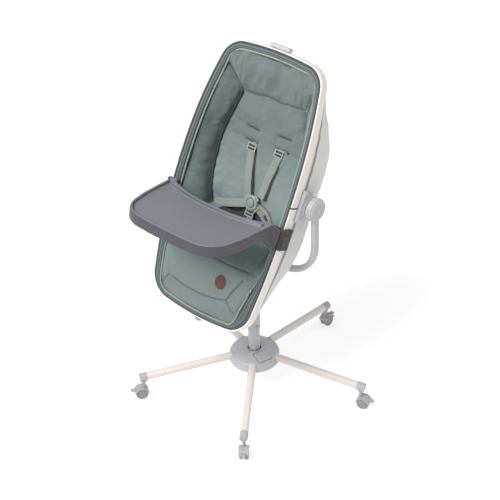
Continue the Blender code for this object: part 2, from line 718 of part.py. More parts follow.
def tray_outline(inset, arm_end):
    """The tray's outline, drawn in by inset, with its arms ending at arm_end."""
    width = TRAY_W - inset
    inner_arm = 0.1700 + 0.5 * inset
    half = curve_through(((0, inset - 0.034), (0.085, inset - 0.034), (0.140, inset - 0.050),
                          (inner_arm, arm_end + 0.012)), 8)
    half += [(inner_arm, arm_end), (width + 0.005, arm_end), (width + 0.001, -0.050), (width, -0.010)]
    half += [(width - 0.0035, 0.050)]
    half += curve_through(((width - 0.0105, 0.090), (width - 0.0170, 0.125), (0.155 - 0.6 * inset, 0.155 - inset),
                           (0.105, 0.161 - inset)), 8)
    half += [(0.055, 0.164 - inset), (0, 0.165 - inset)]
    return half + [(-x, q) for x, q in reversed(half[1:-1])]


def arm_plate(side):
    """The deep plate that carries the tray from one of its arms down and out to the clamp."""
    foot = (-0.0645, -0.0745)
    under = curve_through((foot, (-0.036, -0.0470), (-0.026, -0.0220), (0.030, -0.0350)), 8)
    outline = [(-0.0860, -0.022), (TRAY_ARM_END + 0.0010, -0.004), (-0.055, -0.004), (0.030, -0.004)]
    outline += under[::-1]

    def flare(q, v):
        return ARM_FLARE * smooth_step((-0.020 - q) / 0.055) * min(1.0, -v / 0.020)

    inner = [tray_point(side * (TRAY_W - 0.0065), q, v) for q, v in outline]
    outer = [tray_point(side * (TRAY_W - 0.0006 + flare(q, v)), q, v) for q, v in outline]
    return loft("arm_plate_" + mirrored(side), [inner, outer])


def build_tray():
    recess_end = -0.060
    low_end = TRAY_ARM_END + 0.0025
    rings = ((0.0060, TRAY_ARM_END + 0.008, -0.0130), (0.0005, low_end + 0.003, -TRAY_WALL),
             (-0.0032, low_end, -TRAY_WALL), (0.0, TRAY_ARM_END, -0.0025), (0.0025, TRAY_ARM_END + 0.002, 0.0),
             (0.0085, recess_end, 0.0), (0.0125, recess_end + 0.004, -0.0090))
    loops = [[tray_point(x, q, v) for x, q in tray_outline(inset, end)] for inset, end, v in rings]
    tray = loft("tray", loops)
    finish(combine(tray, "UNION", [arm_plate(side) for side in (1, -1)]), TRAY_GREY)
    for side in (1, -1):
        build_clamp(side)


def build_clamp(side):
    """The dark jaw that hooks over the rim, with its release button in its outer face."""
    label = mirrored(side)
    low, high = CLAMP_S
    near, far = CLAMP_W
    front, back = CLAMP_H
    clamp = block("tray_clamp_" + label, (side * near, low, front), (side * far, high, back), seat_point)
    soften(clamp, 0.0035, 2)
    channel = block("rim_channel_" + label, (side * (near - 0.02), low - 0.02, -0.0034),
                    (side * (RIM_W + 0.0064), high + 0.02, back + 0.02), seat_point)
    middle = (low + high) / 2
    pocket = block("release_pocket_" + label, (side * (far - 0.0052), middle - 0.0150, -0.0080),
                   (side * (far + 0.01), middle + 0.0150, 0.0150), seat_point)
    finish(combine(clamp, "DIFFERENCE", [channel, pocket]), CHARCOAL)
    button = block("tray_release_" + label, (side * (far - 0.0022), middle - 0.0145, -0.0075),
                   (side * (far + 0.0018), middle + 0.0145, 0.0145), seat_point)
    finish(button, CHARCOAL)


# ---------------------------------------------------------------- the whole chair

def build_chair():
    build_hub()
    build_pedal()
    for number, angle in enumerate(LEG_ANGLES, 1):
        build_leg(number, angle)
        build_castor(number, angle)
    build_column()
    build_yoke()
    build_rim()
    build_recline_handle()
    build_tub()
    build_liner()
    build_foot_panel()
    build_back_board()
    build_buckle()
    build_tray()
    build_lap_straps()
    for side in (1, -1):
        build_pivot(side)
        build_shoulder_strap(side)


clear_scene()
PARTS = new_collection(NAME)
CUTTERS = new_collection("cutters", hidden=True)
build_chair()
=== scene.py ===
"""The looks of the baby high chair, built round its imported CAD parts.

Metres, +Z up. The child faces -Y and the child's left is +X. Pieces of the seat are laid out in the
seat's own frame: w runs across to the child's left, s up along the rim and h in behind the rim.
"""

import json
import math

import bmesh
import bpy
import numpy as np
from mathutils import Matrix, Vector, noise
from mathutils.bvhtree import BVHTree


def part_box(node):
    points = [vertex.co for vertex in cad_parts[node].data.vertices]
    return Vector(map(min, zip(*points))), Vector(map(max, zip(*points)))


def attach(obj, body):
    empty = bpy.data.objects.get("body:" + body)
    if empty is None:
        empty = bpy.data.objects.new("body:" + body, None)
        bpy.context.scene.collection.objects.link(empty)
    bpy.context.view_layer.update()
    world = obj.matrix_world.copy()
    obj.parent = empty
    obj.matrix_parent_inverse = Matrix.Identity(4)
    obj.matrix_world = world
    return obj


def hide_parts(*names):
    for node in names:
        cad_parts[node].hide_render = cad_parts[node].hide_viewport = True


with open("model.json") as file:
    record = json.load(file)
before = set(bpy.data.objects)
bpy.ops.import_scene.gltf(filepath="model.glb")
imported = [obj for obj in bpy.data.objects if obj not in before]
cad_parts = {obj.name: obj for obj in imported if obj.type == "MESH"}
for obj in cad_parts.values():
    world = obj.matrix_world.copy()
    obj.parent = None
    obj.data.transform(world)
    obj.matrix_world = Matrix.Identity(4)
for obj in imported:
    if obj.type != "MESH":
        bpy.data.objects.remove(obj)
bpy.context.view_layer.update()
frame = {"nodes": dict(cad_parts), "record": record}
POLE_Y = sum(corner.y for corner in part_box("column_tube")) / 2

# ---------------------------------------------------------------- the chair's own dimensions, in metres

SEAT_TILT = math.radians(64.447)
LEAN, RISE = math.sin(SEAT_TILT), math.cos(SEAT_TILT)
SEAT_Z, SEAT_Y = 0.5, -0.2189
RIM_BOW, BOW_START = 0.0959, 0.05
RIM_W, RIM_WIDEST, HEAD_DROP, FOOT_DROP = 0.2145, 0.31, 0.0325, 0.0285
HEAD_END, FOOT_END = 0.716, -0.0945
HEAD_CORNER = (0.1132, 0.6397, 0.07)
FOOT_CORNER = (0.111, -0.0075, 0.08)
HEAD_FLARE, FOOT_FLARE = 12.6, 9.0
RIM_JOINT = 0.322
RIM_DEPTH = 0.029
TUB_START = RIM_DEPTH + 0.0007
TUB_DEPTH, TUB_RISE, SPINE = 0.192, 0.28, (0.1, 0.55)
PIVOT_Z, PIVOT_R = 0.758, 0.035
BRACKET_X, YOKE_HEAD_X, CAP_X = (0.2143, 0.2335), (0.2348, 0.2552), (0.2555, 0.259)
PIVOT_S, PIVOT_H = 0.329, 0.0782
ARM_X, ARM_THICK, ARM_DEEP, YOKE_CORNER_R, YOKE_BOTTOM = 0.2452, 0.019, 0.025, 0.119, 0.499
TRAY_Y, TRAY_Z, TRAY_RISE = -0.2, 0.761, math.radians(5.1)
TRAY_W, TRAY_ARM_END, TRAY_WALL, ARM_FLARE = 0.195, -0.0785, 0.036, 0.024
HUB_BOTTOM = 0.0895
CONTROLS_ANGLE = -18
LEG_ANGLES = (-54, 18, 90, 162, 234)
LEG_R, LEG_START, LEG_SHOWS, LEG_END = 0.0125, 0.062, 0.0735, 0.35
LEG_HEIGHTS = (0.1128, 0.082)
BUCKLE_W, BUCKLE_S, BUCKLE_R = -0.007, 0.2535, 0.0255

# how steeply the liner's side walls go down, and how much the back panel's edges stand up, along s
WALL_SLOPES = ((-0.1, 2.4), (0.1, 3.0), (0.215, 3.3), (0.243, 3.35), (0.33, 3.44), (0.436, 2.68),
               (0.49, 1.8), (0.54, 1.35), (0.575, 1.12), (0.6, 1.02), (0.637, 1.0), (0.66, 1.2),
               (0.72, 2.4))
PANEL_DISH = ((0.1, 0.0), (0.16, 0.025), (0.24, 0.032), (0.33, 0.024), (0.436, 0.013), (0.49, 0.008),
              (0.56, 0.0), (0.6, 0.018), (0.62, 0.021), (0.637, 0.026), (0.66, 0.02), (0.69, 0.003))
PANEL_HALF = 0.155
FRONT_SINK, FOLD_WIDTH = 0.00225, 0.0225
SKIN_THICK, WALL_EXTRA = 0.014, 0.02

# how much painted shade darkens the liner's cloth along s: most at the foot end and from the upper back to the
# head, least on the lower back
LINER_PAINTED_SHADE = ((-0.04, 0.95), (0.06, 0.15), (0.14, 0.15), (0.3, 0.0), (0.36, 0.2), (0.46, 0.95), (0.6, 1.0))
LINER_PROFILE = ((-0.0945, -0.001), (-0.05, -0.002), (0.07, -0.003), (0.1, 0.004), (0.112, 0.018),
                 (0.205, 0.163), (0.575, 0.072), (0.69, 0.008), (0.716, 0.001))


# ---------------------------------------------------------------- materials

def new_material(name, roughness=0.5, sheen=0.0, metallic=0.0, coat=0.0):
    material = bpy.data.materials.new(name)
    material.use_nodes = True
    shader = material.node_tree.nodes["Principled BSDF"]
    shader.inputs["Roughness"].default_value = roughness
    shader.inputs["Metallic"].default_value = metallic
    shader.inputs["Sheen Weight"].default_value = sheen
    shader.inputs["Coat Weight"].default_value = coat
    return material, material.node_tree, shader


def node(tree, kind, inputs=(), **settings):
    made = tree.nodes.new(kind)
    for key, value in settings.items():
        setattr(made, key, value)
    for key, value in dict(inputs).items():
        if isinstance(value, bpy.types.NodeSocket):
            tree.links.new(value, made.inputs[key])
        else:
            made.inputs[key].default_value = value
    return made


def colour_mix(tree, factor, first, second, blend="MIX"):
    mixed = node(tree, "ShaderNodeMix", data_type="RGBA", blend_type=blend)
    for key, value in ((0, factor), (6, first), (7, second)):
        if isinstance(value, bpy.types.NodeSocket):
            tree.links.new(value, mixed.inputs[key])
        else:
            mixed.inputs[key].default_value = value if key == 0 else (*value, 1.0)
    return mixed.outputs[2]


def place(tree):
    return tree.nodes.new("ShaderNodeTexCoord").outputs["Object"]


def noise_at(tree, where, scale, detail=3.0, roughness=0.55):
    return node(tree, "ShaderNodeTexNoise", {"Vector": where, "Scale": scale, "Detail": detail,
                                             "Roughness": roughness}).outputs["Fac"]


def ranged(tree, value, low, high, to_low=0.0, to_high=1.0):
    return node(tree, "ShaderNodeMapRange", {"Value": value, "From Min": low, "From Max": high,
                                             "To Min": to_low, "To Max": to_high}).outputs["Result"]


def shade(colour, by):
    """A colour made lighter or darker by a factor."""
    return tuple(min(1, c * by) for c in colour)


def maths(tree, operation, first, second):
    return node(tree, "ShaderNodeMath", {0: first, 1: second}, operation=operation).outputs[0]


def bump(tree, shader, height, strength, distance):
    made = node(tree, "ShaderNodeBump", {"Height": height, "Strength": strength, "Distance": distance})
    tree.links.new(made.outputs["Normal"], shader.inputs["Normal"])


def painted_on(tree, name):
    """The numbers that paint() stored on a piece."""
    return node(tree, "ShaderNodeAttribute", attribute_name=name).outputs["Fac"]


def worn_edges(tree, most):
    """Where a surface turns a sharp outer edge."""
    return ranged(tree, node(tree, "ShaderNodeNewGeometry").outputs["Pointiness"], 0.53, 0.62, 0.0, most)


def woven(name, colour, dark, thread=900.0, sheen=0.25, relief=0.35, shaded=False):
    """Plain woven cloth: two crossing threads, a heathered tone and broad fading."""
    material, tree, shader = new_material(name, roughness=0.92, sheen=sheen)
    where = place(tree)
    waves = {"Vector": where, "Scale": thread / 6.283, "Distortion": 0.6, "Detail": 1.0}
    across, along = (node(tree, "ShaderNodeTexWave", waves, bands_direction=axis).outputs["Fac"]
                     for axis in "XZ")
    threads = maths(tree, "MULTIPLY", across, along)
    heather = ranged(tree, noise_at(tree, where, 420.0, 4.0, 0.7), 0.34, 0.66)
    broad = ranged(tree, noise_at(tree, where, 9.0, 3.0), 0.3, 0.7)
    base = colour_mix(tree, heather, dark, colour)
    base = colour_mix(tree, maths(tree, "MULTIPLY", broad, 0.22), base, shade(colour, 1.22))
    base = colour_mix(tree, maths(tree, "MULTIPLY", threads, 0.12), base, shade(colour, 0.6))
    if shaded:
        # painted shade: a darker gradient along the seat where less light falls, then near-black lines along
        # seams, creases and grooves
        painted_shade = painted_on(tree, "painted_shade")
        base = colour_mix(tree, painted_shade, base, (0.68, 0.68, 0.68), "MULTIPLY")
        # painted shade: near-black along the seam grooves and creases that the piece marks
        seam_shade = painted_on(tree, "seam_shade")
        base = colour_mix(tree, seam_shade, base, shade(dark, 0.16))
    tree.links.new(base, shader.inputs["Base Color"])
    fuzz = maths(tree, "ADD", threads, noise_at(tree, where, 260.0, 3.0))
    bump(tree, shader, fuzz, relief, 0.0006)
    return material


def moulded(name, colour, roughness=0.45, grain=1400.0, relief=0.1, coat=0.0, top=None):
    """Moulded plastic: a fine even grain, slightly rubbed edges and faint tone changes; with top, painted
    light: faces turned up get that lighter colour.
    """
    material, tree, shader = new_material(name, coat=coat)
    where = place(tree)
    cloud = noise_at(tree, where, 14.0, 4.0)
    fine = noise_at(tree, where, grain, 2.0)
    base = colour_mix(tree, ranged(tree, cloud, 0.3, 0.7, 0.0, 0.5), colour, shade(colour, 1.07))
    speck = ranged(tree, fine, 0.35, 0.65, 0.0, 0.35)
    base = colour_mix(tree, speck, base, shade(colour, 0.9))
    edge = worn_edges(tree, 0.35)
    # painted light: faces turned up take the lighter top colour as if lit from above, and the walls keep the
    # darker colour as shade
    if top:
        facing = painted_on(tree, "top")
        base = colour_mix(tree, facing, base, top)
        base = colour_mix(tree, maths(tree, "MULTIPLY", speck, 0.5), base, shade(top, 0.8))
    base = colour_mix(tree, edge, base, tuple(min(1, c * 1.3 + 0.02) for c in colour))
    tree.links.new(base, shader.inputs["Base Color"])
    rubbed = ranged(tree, cloud, 0.25, 0.75, roughness - 0.05, roughness + 0.07)
    tree.links.new(rubbed, shader.inputs["Roughness"])
    bump(tree, shader, fine, relief, 0.0003)
    return material


def painted(name, colour):
    """Satin paint on a metal tube, with a faint orange-peel surface."""
    material, tree, shader = new_material(name, coat=0.15)
    where = place(tree)
    cloud = noise_at(tree, where, 10.0, 3.0)
    base = colour_mix(tree, ranged(tree, cloud, 0.3, 0.7, 0.0, 0.6), colour, shade(colour, 0.955))
    base = colour_mix(tree, worn_edges(tree, 0.4), base, shade(colour, 1.1))
    tree.links.new(base, shader.inputs["Base Color"])
    tree.links.new(ranged(tree, cloud, 0.25, 0.75, 0.34, 0.44), shader.inputs["Roughness"])
    bump(tree, shader, noise_at(tree, where, 500.0, 2.0), 0.06, 0.0003)
    return material


def webbing(name, colour):
    """Flat woven strap: close ribs across its width, read along the strap's own length."""
    material, tree, shader = new_material(name, roughness=0.85, sheen=0.15)
    run = painted_on(tree, "run")
    side = painted_on(tree, "side")
    ribs = node(tree, "ShaderNodeMath", {0: maths(tree, "MULTIPLY", run, 2 * math.pi / 0.0022)},
                operation="SINE").outputs[0]
    ribs = ranged(tree, ribs, -1.0, 1.0)
    heather = noise_at(tree, place(tree), 500.0, 3.0)
    base = colour_mix(tree, maths(tree, "MULTIPLY", ribs, 0.25), colour, shade(colour, 0.62))
    base = colour_mix(tree, ranged(tree, heather, 0.3, 0.7, 0.0, 0.35), base, shade(colour, 1.18))
    edge = ranged(tree, side, 0.78, 0.92, 0.0, 0.45)
    base = colour_mix(tree, edge, base, shade(colour, 0.55))
    tree.links.new(base, shader.inputs["Base Color"])
    bump(tree, shader, maths(tree, "ADD", ribs, heather), 0.35, 0.0005)
    return material


def leather(name, colour):
    material, tree, shader = new_material(name, coat=0.05)
    where = place(tree)
    cells = node(tree, "ShaderNodeTexVoronoi", {"Vector": where, "Scale": 700.0}).outputs["Distance"]
    cloud = noise_at(tree, where, 90.0, 4.0)
    base = colour_mix(tree, ranged(tree, cloud, 0.3, 0.7, 0.0, 0.8), colour, shade(colour, 0.72))
    base = colour_mix(tree, ranged(tree, cells, 0.0, 0.5, 0.35, 0.0), base, shade(colour, 0.5))
    tree.links.new(base, shader.inputs["Base Color"])
    tree.links.new(ranged(tree, cloud, 0.3, 0.7, 0.5, 0.64), shader.inputs["Roughness"])
    bump(tree, shader, cells, 0.3, 0.0004)
    return material


def brushed(name, colour):
    material, tree, shader = new_material(name, metallic=0.9)
    where = place(tree)
    lines = noise_at(tree, where, 300.0, 6.0)
    base = colour_mix(tree, lines, shade(colour, 0.8), colour)
    tree.links.new(base, shader.inputs["Base Color"])
    tree.links.new(ranged(tree, lines, 0.3, 0.7, 0.28, 0.42), shader.inputs["Roughness"])
    return material


SAGE = (0.238, 0.3, 0.297)
LOOKS = {
    "sage": woven("sage_weave", SAGE, (0.182, 0.238, 0.234), shaded=True),
    "band": woven("band_weave", (0.158, 0.205, 0.208), (0.118, 0.16, 0.163), shaded=True),
    "piping": woven("piping_weave", (0.36, 0.4, 0.35), (0.22, 0.26, 0.22)),
    # near-black cord colour for the threads, and also for the cords and plates that stand in for shade in
    # creases, slots and slide windows
    "thread": woven("seam_thread_and_shade", (0.06, 0.08, 0.078), (0.04, 0.055, 0.053), sheen=0.0),
    "pale": woven("pale_weave", (0.68, 0.69, 0.66), (0.6, 0.61, 0.58), sheen=0.1, shaded=True),
    "dark_cloth": woven("charcoal_weave", (0.045, 0.048, 0.052), (0.025, 0.027, 0.03)),
    "cream": painted("cream_satin", (0.8, 0.735, 0.69)),
    # painted shade: a darker copy of the cream paint for the legs, which are the same paint as the rim
    "leg_cream_shaded": painted("leg_satin_shaded", (0.7, 0.64, 0.605)),
    "white_plastic": moulded("pale_grey_moulded", (0.455, 0.455, 0.48), 0.42),
    "charcoal": moulded("charcoal_moulded", (0.026, 0.024, 0.028), 0.5),
    # painted light and shade: the dark colour for the tray's walls, the lighter top colour for its faces
    # turned up to the light
    "tray": moulded("tray_moulded", (0.058, 0.056, 0.07), 0.44, grain=900.0, relief=0.16,
                    top=(0.185, 0.187, 0.215)),
    "rubber": moulded("wheel_rubber", (0.26, 0.26, 0.29), 0.65, grain=600.0, relief=0.2),
    "caster": moulded("caster_moulded", (0.37, 0.37, 0.4), 0.45),
    "webbing": webbing("strap_webbing", (0.27, 0.29, 0.258)),
    "webbing_shade": webbing("strap_webbing_shade", (0.05, 0.06, 0.05)),
    "buckle": moulded("buckle_moulded", (0.235, 0.315, 0.27), 0.34, coat=0.2),
    "adjuster": moulded("adjuster_moulded", (0.43, 0.48, 0.41), 0.34, coat=0.2),
    "leather": leather("brown_leather", (0.14, 0.048, 0.036)),
    "leather_edge": leather("leather_edge", (0.23, 0.09, 0.055)),
    "steel": brushed("plain_steel", (0.5, 0.51, 0.53)),
    "board": moulded("board_plastic", (0.3, 0.3, 0.3), 0.7),
}
SLOT_LOOK = {"white_plastic": "white_plastic", "cream_paint": "cream", "charcoal_plastic": "charcoal",
             "tray_plastic": "tray", "wheel_rubber": "rubber", "sage_fabric": "sage", "pale_fabric": "pale",
             "webbing": "webbing", "buckle_plastic": "buckle", "leather": "leather", "board": "board",
             "steel": "steel"}


# ---------------------------------------------------------------- mesh helpers

def smooth_step(x):
    x = np.clip(x, 0.0, 1.0)
    return x * x * (3 - 2 * x)


def run_along(line):
    """How far along a line of points each of them lies."""
    return np.concatenate(([0], np.cumsum(np.linalg.norm(np.diff(line, axis=0), axis=1))))


def round_angles(steps):
    return 2 * np.pi * np.arange(steps) / steps


def places_of(vertices):
    return np.array([v.co[:] for v in vertices])


def noises(x, y, z):
    """Smooth noise at many places."""
    return np.array([noise.noise(Vector(spot)) for spot in zip(x, y, z)])


def seat_points(w, s, h):
    """Points of the seat's bowed frame, in the chair's frame."""
    w, s, h = np.broadcast_arrays(np.asarray(w, float), np.asarray(s, float), np.asarray(h, float))
    bowed = -RIM_BOW * (s - BOW_START) ** 2 - h
    return np.stack((w, POLE_Y + SEAT_Y + s * RISE - bowed * LEAN, SEAT_Z + s * LEAN + bowed * RISE), -1)


def seat_coordinates(points):
    """The w, s and h of points in the chair's frame."""
    y = points[:, 1] - POLE_Y - SEAT_Y
    z = points[:, 2] - SEAT_Z
    s = y * RISE + z * LEAN
    h = y * LEAN - z * RISE - RIM_BOW * (s - BOW_START) ** 2
    return points[:, 0], s, h


def tray_points(x, q, v):
    x, q, v = np.broadcast_arrays(np.asarray(x, float), np.asarray(q, float), np.asarray(v, float))
    lean, level = math.sin(TRAY_RISE), math.cos(TRAY_RISE)
    return np.stack((x, POLE_Y + TRAY_Y - q * level + v * lean, TRAY_Z + q * lean + v * level), -1)


def around(angle, along, aside, z):
    turn = math.radians(angle)
    return Vector((along * math.cos(turn) - aside * math.sin(turn),
                   POLE_Y + along * math.sin(turn) + aside * math.cos(turn), z))


def mesh_object(name, points, faces, sharp=40):
    data = bpy.data.meshes.new(name)
    data.from_pydata([tuple(p) for p in points], [], faces)
    bm = bmesh.new()
    bm.from_mesh(data)
    bmesh.ops.remove_doubles(bm, verts=bm.verts, dist=1e-6)
    bm.normal_update()
    bmesh.ops.recalc_face_normals(bm, faces=bm.faces)
    bm.to_mesh(data)
    bm.free()
    data.shade_smooth()
    if sharp:
        data.set_sharp_from_angle(angle=math.radians(sharp))
    obj = bpy.data.objects.new(name, data)
    bpy.context.scene.collection.objects.link(obj)
    return obj


def dress(obj, look, body, stands_for=()):
    """Gives a piece its material and its body, and hides the CAD nodes it stands for."""
    obj.data.materials.clear()
    obj.data.materials.append(LOOKS[look])
    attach(obj, body)
    if stands_for:
        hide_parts(*stands_for)
    return obj


def paint(obj, name, values):
    """Stores one number for each of the first vertices of a piece, for its material to read."""
    every = np.zeros(len(obj.data.vertices), np.float32)
    values = np.asarray(values, np.float32)[:len(every)]
    every[:len(values)] = values
    mark = obj.data.attributes.new(name, "FLOAT", "POINT")
    mark.data.foreach_set("value", every)


def closed_pad(name, front, back, rows, columns):
    """Two grids of points, front and back, closed round their border."""
    size = rows * columns
    faces = grid_faces(rows, columns)
    faces += [tuple(k + size for k in reversed(face)) for face in grid_faces(rows, columns)]
    border = list(range(columns)) + [r * columns + columns - 1 for r in range(1, rows)]
    border += [size - columns + c for c in range(columns - 2, -1, -1)]
    border += [r * columns for r in range(rows - 2, 0, -1)]
    for here, after in zip(border, border[1:] + border[:1]):
        faces.append((here, here + size, after + size, after))
    return mesh_object(name, np.vstack((front, back)), faces, sharp=0)


def grid_faces(rows, columns, wrap_rows=False, wrap_columns=False):
    faces = []
    for r in range(rows if wrap_rows else rows - 1):
        for c in range(columns if wrap_columns else columns - 1):
            after_c = (c + 1) % columns
            here, above = r * columns, (r + 1) % rows * columns
            faces.append((here + c, here + after_c, above + after_c, above + c))
    return faces


def loft(name, loops, wrap=False, sharp=40):
    """Skins closed loops of equally many points. wrap joins the last loop to the first."""
    loops = np.asarray(loops, float)
    rows, columns = loops.shape[:2]
    faces = grid_faces(rows, columns, wrap_rows=wrap, wrap_columns=True)
    if not wrap:
        faces += [tuple(range(columns)), tuple(range((rows - 1) * columns, rows * columns))]
    return mesh_object(name, loops.reshape(-1, 3), faces, sharp)


def fillet(corners, radii, steps=5):
    """A closed polygon with its corners rounded."""
    points = []
    count = len(corners)
    for k, radius in enumerate(radii):
        here, before, after = (np.array(corners[j % count], float) for j in (k, k - 1, k + 1))
        if radius <= 0:
            points.append(here)
            continue
        back, on = before - here, after - here
        back, on = back / np.linalg.norm(back), on / np.linalg.norm(on)
        start, end = here + back * radius, here + on * radius
        for t in np.linspace(0, 1, steps):
            points.append((1 - t) ** 2 * start + 2 * t * (1 - t) * here + t * t * end)
    return np.array(points)


def turned(name, profile, centre=(0, 0, 0), axis=(0, 0, 1), steps=72, sharp=35):
    """A profile of (radius, height) turned about an axis. A profile that starts off the axis closes
    on itself."""
    turn = Vector(axis).to_track_quat("Z", "Y").to_matrix()
    ring = round_angles(steps)
    loops = []
    for radius, height in profile:
        radius = max(radius, 1e-5)
        flat = np.stack((radius * np.cos(ring), radius * np.sin(ring), np.full(steps, height)), -1)
        loops.append(flat @ np.array(turn).T + np.array(centre))
    return loft(name, loops, wrap=profile[0][0] > 0 and profile[-1][0] > 0, sharp=sharp)


def rounded_rod(name, radius, start, end, round_by=0.002, steps=48):
    start, end = Vector(start), Vector(end)
    length = (end - start).length
    flat, arc = radius - round_by, [math.radians(90 * k / 4) for k in range(5)]
    profile = [(0.0, 0.0)]
    profile += [(flat + round_by * math.sin(a), round_by - round_by * math.cos(a)) for a in arc]
    profile += [(flat + round_by * math.cos(a), length - round_by + round_by * math.sin(a)) for a in arc]
    profile.append((0.0, length))
    return turned(name, profile, start, end - start, steps)


def apply_modifiers(obj):
    """Puts the result of an object's modifiers in its mesh."""
    graph = bpy.context.evaluated_depsgraph_get()
    made = bpy.data.meshes.new_from_object(obj.evaluated_get(graph), depsgraph=graph)
    obj.modifiers.clear()
    obj.data = made
    return obj


def cut_away(obj, cutter):
    cut = obj.modifiers.new("cut", "BOOLEAN")
    cut.object = cutter
    apply_modifiers(obj)
    bpy.data.objects.remove(cutter)
    obj.data.set_sharp_from_angle(angle=math.radians(35))


def join(name, objects):
    bm = bmesh.new()
    for obj in objects:
        bm.from_mesh(obj.data)
    data = bpy.data.meshes.new(name)
    bm.to_mesh(data)
    bm.free()
    for obj in objects:
        bpy.data.objects.remove(obj)
    made = bpy.data.objects.new(name, data)
    bpy.context.scene.collection.objects.link(made)
    return made


def moulded_together(obj, voxel, smoothing, sharp=30):
    """Makes one continuous skin of overlapping closed shapes, with softened edges."""
    remesh = obj.modifiers.new("one_skin", "REMESH")
    remesh.mode = "VOXEL"
    remesh.voxel_size = voxel
    remesh.adaptivity = 0.0
    soft = obj.modifiers.new("soften", "SMOOTH")
    soft.factor = 0.5
    soft.iterations = smoothing
    apply_modifiers(obj)
    obj.data.shade_smooth()
    if sharp:
        obj.data.set_sharp_from_angle(angle=math.radians(sharp))
    return obj


def bevelled_block(name, low, high, place_by, bevel=0.0015, segments=3):
    bm = bmesh.new()
    bmesh.ops.create_cube(bm, size=1.0)
    low, high = Vector(low), Vector(high)
    matrix = Matrix.Translation((low + high) / 2) @ Matrix.Diagonal((*(high - low), 1))
    bmesh.ops.transform(bm, matrix=matrix, verts=bm.verts)
    bmesh.ops.bevel(bm, geom=list(bm.edges), offset=bevel, segments=segments, profile=0.5, affect="EDGES")
    points = places_of(bm.verts)
    faces = [tuple(v.index for v in f.verts) for f in bm.faces]
    bm.free()
    return mesh_object(name, place_by(points[:, 0], points[:, 1], points[:, 2]), faces, sharp=50)


# ---------------------------------------------------------------- the rim's outline

def side_width(s):
    above = RIM_W - HEAD_DROP * np.maximum((s - RIM_WIDEST) / 0.34, 0) ** 2.4
    return above - FOOT_DROP * (np.maximum(RIM_WIDEST - s, 0) / 0.355) ** 2


def rim_outline(count):
    """Evenly spaced points round the rim, anticlockwise from the middle of the foot end, with the
    outward direction at each."""
    def corner(centre_w, centre_s, radius, first, last):
        turns = np.radians(np.linspace(first, last, 24))
        return [(centre_w + radius * np.cos(turn), centre_s + radius * np.sin(turn)) for turn in turns]

    shares = np.linspace(0, 1, 12)[:-1]
    foot_bow = FOOT_CORNER[1] - FOOT_CORNER[2] - FOOT_END
    head_bow = HEAD_CORNER[1] + HEAD_CORNER[2] - HEAD_END
    half = [(FOOT_CORNER[0] * share, FOOT_END + foot_bow * share ** 2) for share in shares]
    half += corner(*FOOT_CORNER, -90, -FOOT_FLARE)
    half += [(float(side_width(s)), s) for s in np.linspace(-0.01, 0.64, 60)]
    half += corner(*HEAD_CORNER, HEAD_FLARE, 90)
    half += [(HEAD_CORNER[0] * share, HEAD_END + head_bow * share ** 2)
             for share in np.linspace(1, 0, 12)[1:]]
    whole = np.array(half + [(-w, s) for w, s in reversed(half[1:-1])])
    closed = np.vstack((whole, whole[:1]))
    run = run_along(closed)
    at = np.linspace(0, run[-1], count, endpoint=False)
    points = np.stack([np.interp(at, run, closed[:, k]) for k in (0, 1)], -1)
    for _ in range(2):
        points = (np.roll(points, 1, 0) + 2 * points + np.roll(points, -1, 0)) / 4
    ahead = np.roll(points, -1, 0) - np.roll(points, 1, 0)
    out = np.stack((ahead[:, 1], -ahead[:, 0]), -1)
    return points, out / np.linalg.norm(out, axis=1, keepdims=True)


OUTLINE, OUTWARD = rim_outline(480)


def inside_distance(w, s):
    """How far points lie inside the rim's outline."""
    flat = np.stack((np.ravel(w), np.ravel(s)), -1)
    found = np.empty(len(flat))
    for start in range(0, len(flat), 4000):
        part = flat[start:start + 4000]
        found[start:start + 4000] = np.sqrt(((part[:, None] - OUTLINE[None]) ** 2).sum(-1)).min(1)
    return found.reshape(np.shape(w))


# ---------------------------------------------------------------- frame pieces

def sweep_rim(name, section, chosen):
    loops = []
    for k in chosen:
        point, out = OUTLINE[k], OUTWARD[k]
        loops.append(seat_points(point[0] + out[0] * section[:, 0], point[1] + out[1] * section[:, 0],
                                 section[:, 1]))
    return loft(name, loops, sharp=50)


def build_rim():
    section = fillet(((0.0008, 0.0), (0.0058, 0.0), (0.0058, RIM_DEPTH), (-0.016, RIM_DEPTH),
                      (-0.016, 0.0078), (0.0008, 0.0078)),
                     (0.001, 0.0022, 0.003, 0.002, 0.001, 0.0008), 6)
    above = OUTLINE[:, 1] > RIM_JOINT + 0.0012
    below = OUTLINE[:, 1] < RIM_JOINT - 0.0012
    count = len(OUTLINE)
    upper = [k for k in range(count) if above[k]]
    lower = [k % count for k in range(count // 2, count + count // 2) if below[k % count]]
    for label, chosen in (("upper", upper), ("lower", lower)):
        tube = sweep_rim(f"rim_{label}_tube", section, chosen)
        dress(tube, "cream", "seat", ["rim_frame_" + label])
    inner = np.array([(o * 0.985 - 0.0006, 0.0012 + h * 0.93) for o, h in section])
    for side in (1, -1):
        away = np.abs(OUTLINE[:, 1] - RIM_JOINT) + 9 * (OUTLINE[:, 0] * side < 0)
        near = sorted(range(count), key=lambda k: away[k])[:3]
        plug = sweep_rim("rim_joint_" + ("left" if side > 0 else "right"), inner, sorted(near))
        dress(plug, "charcoal", "seat")


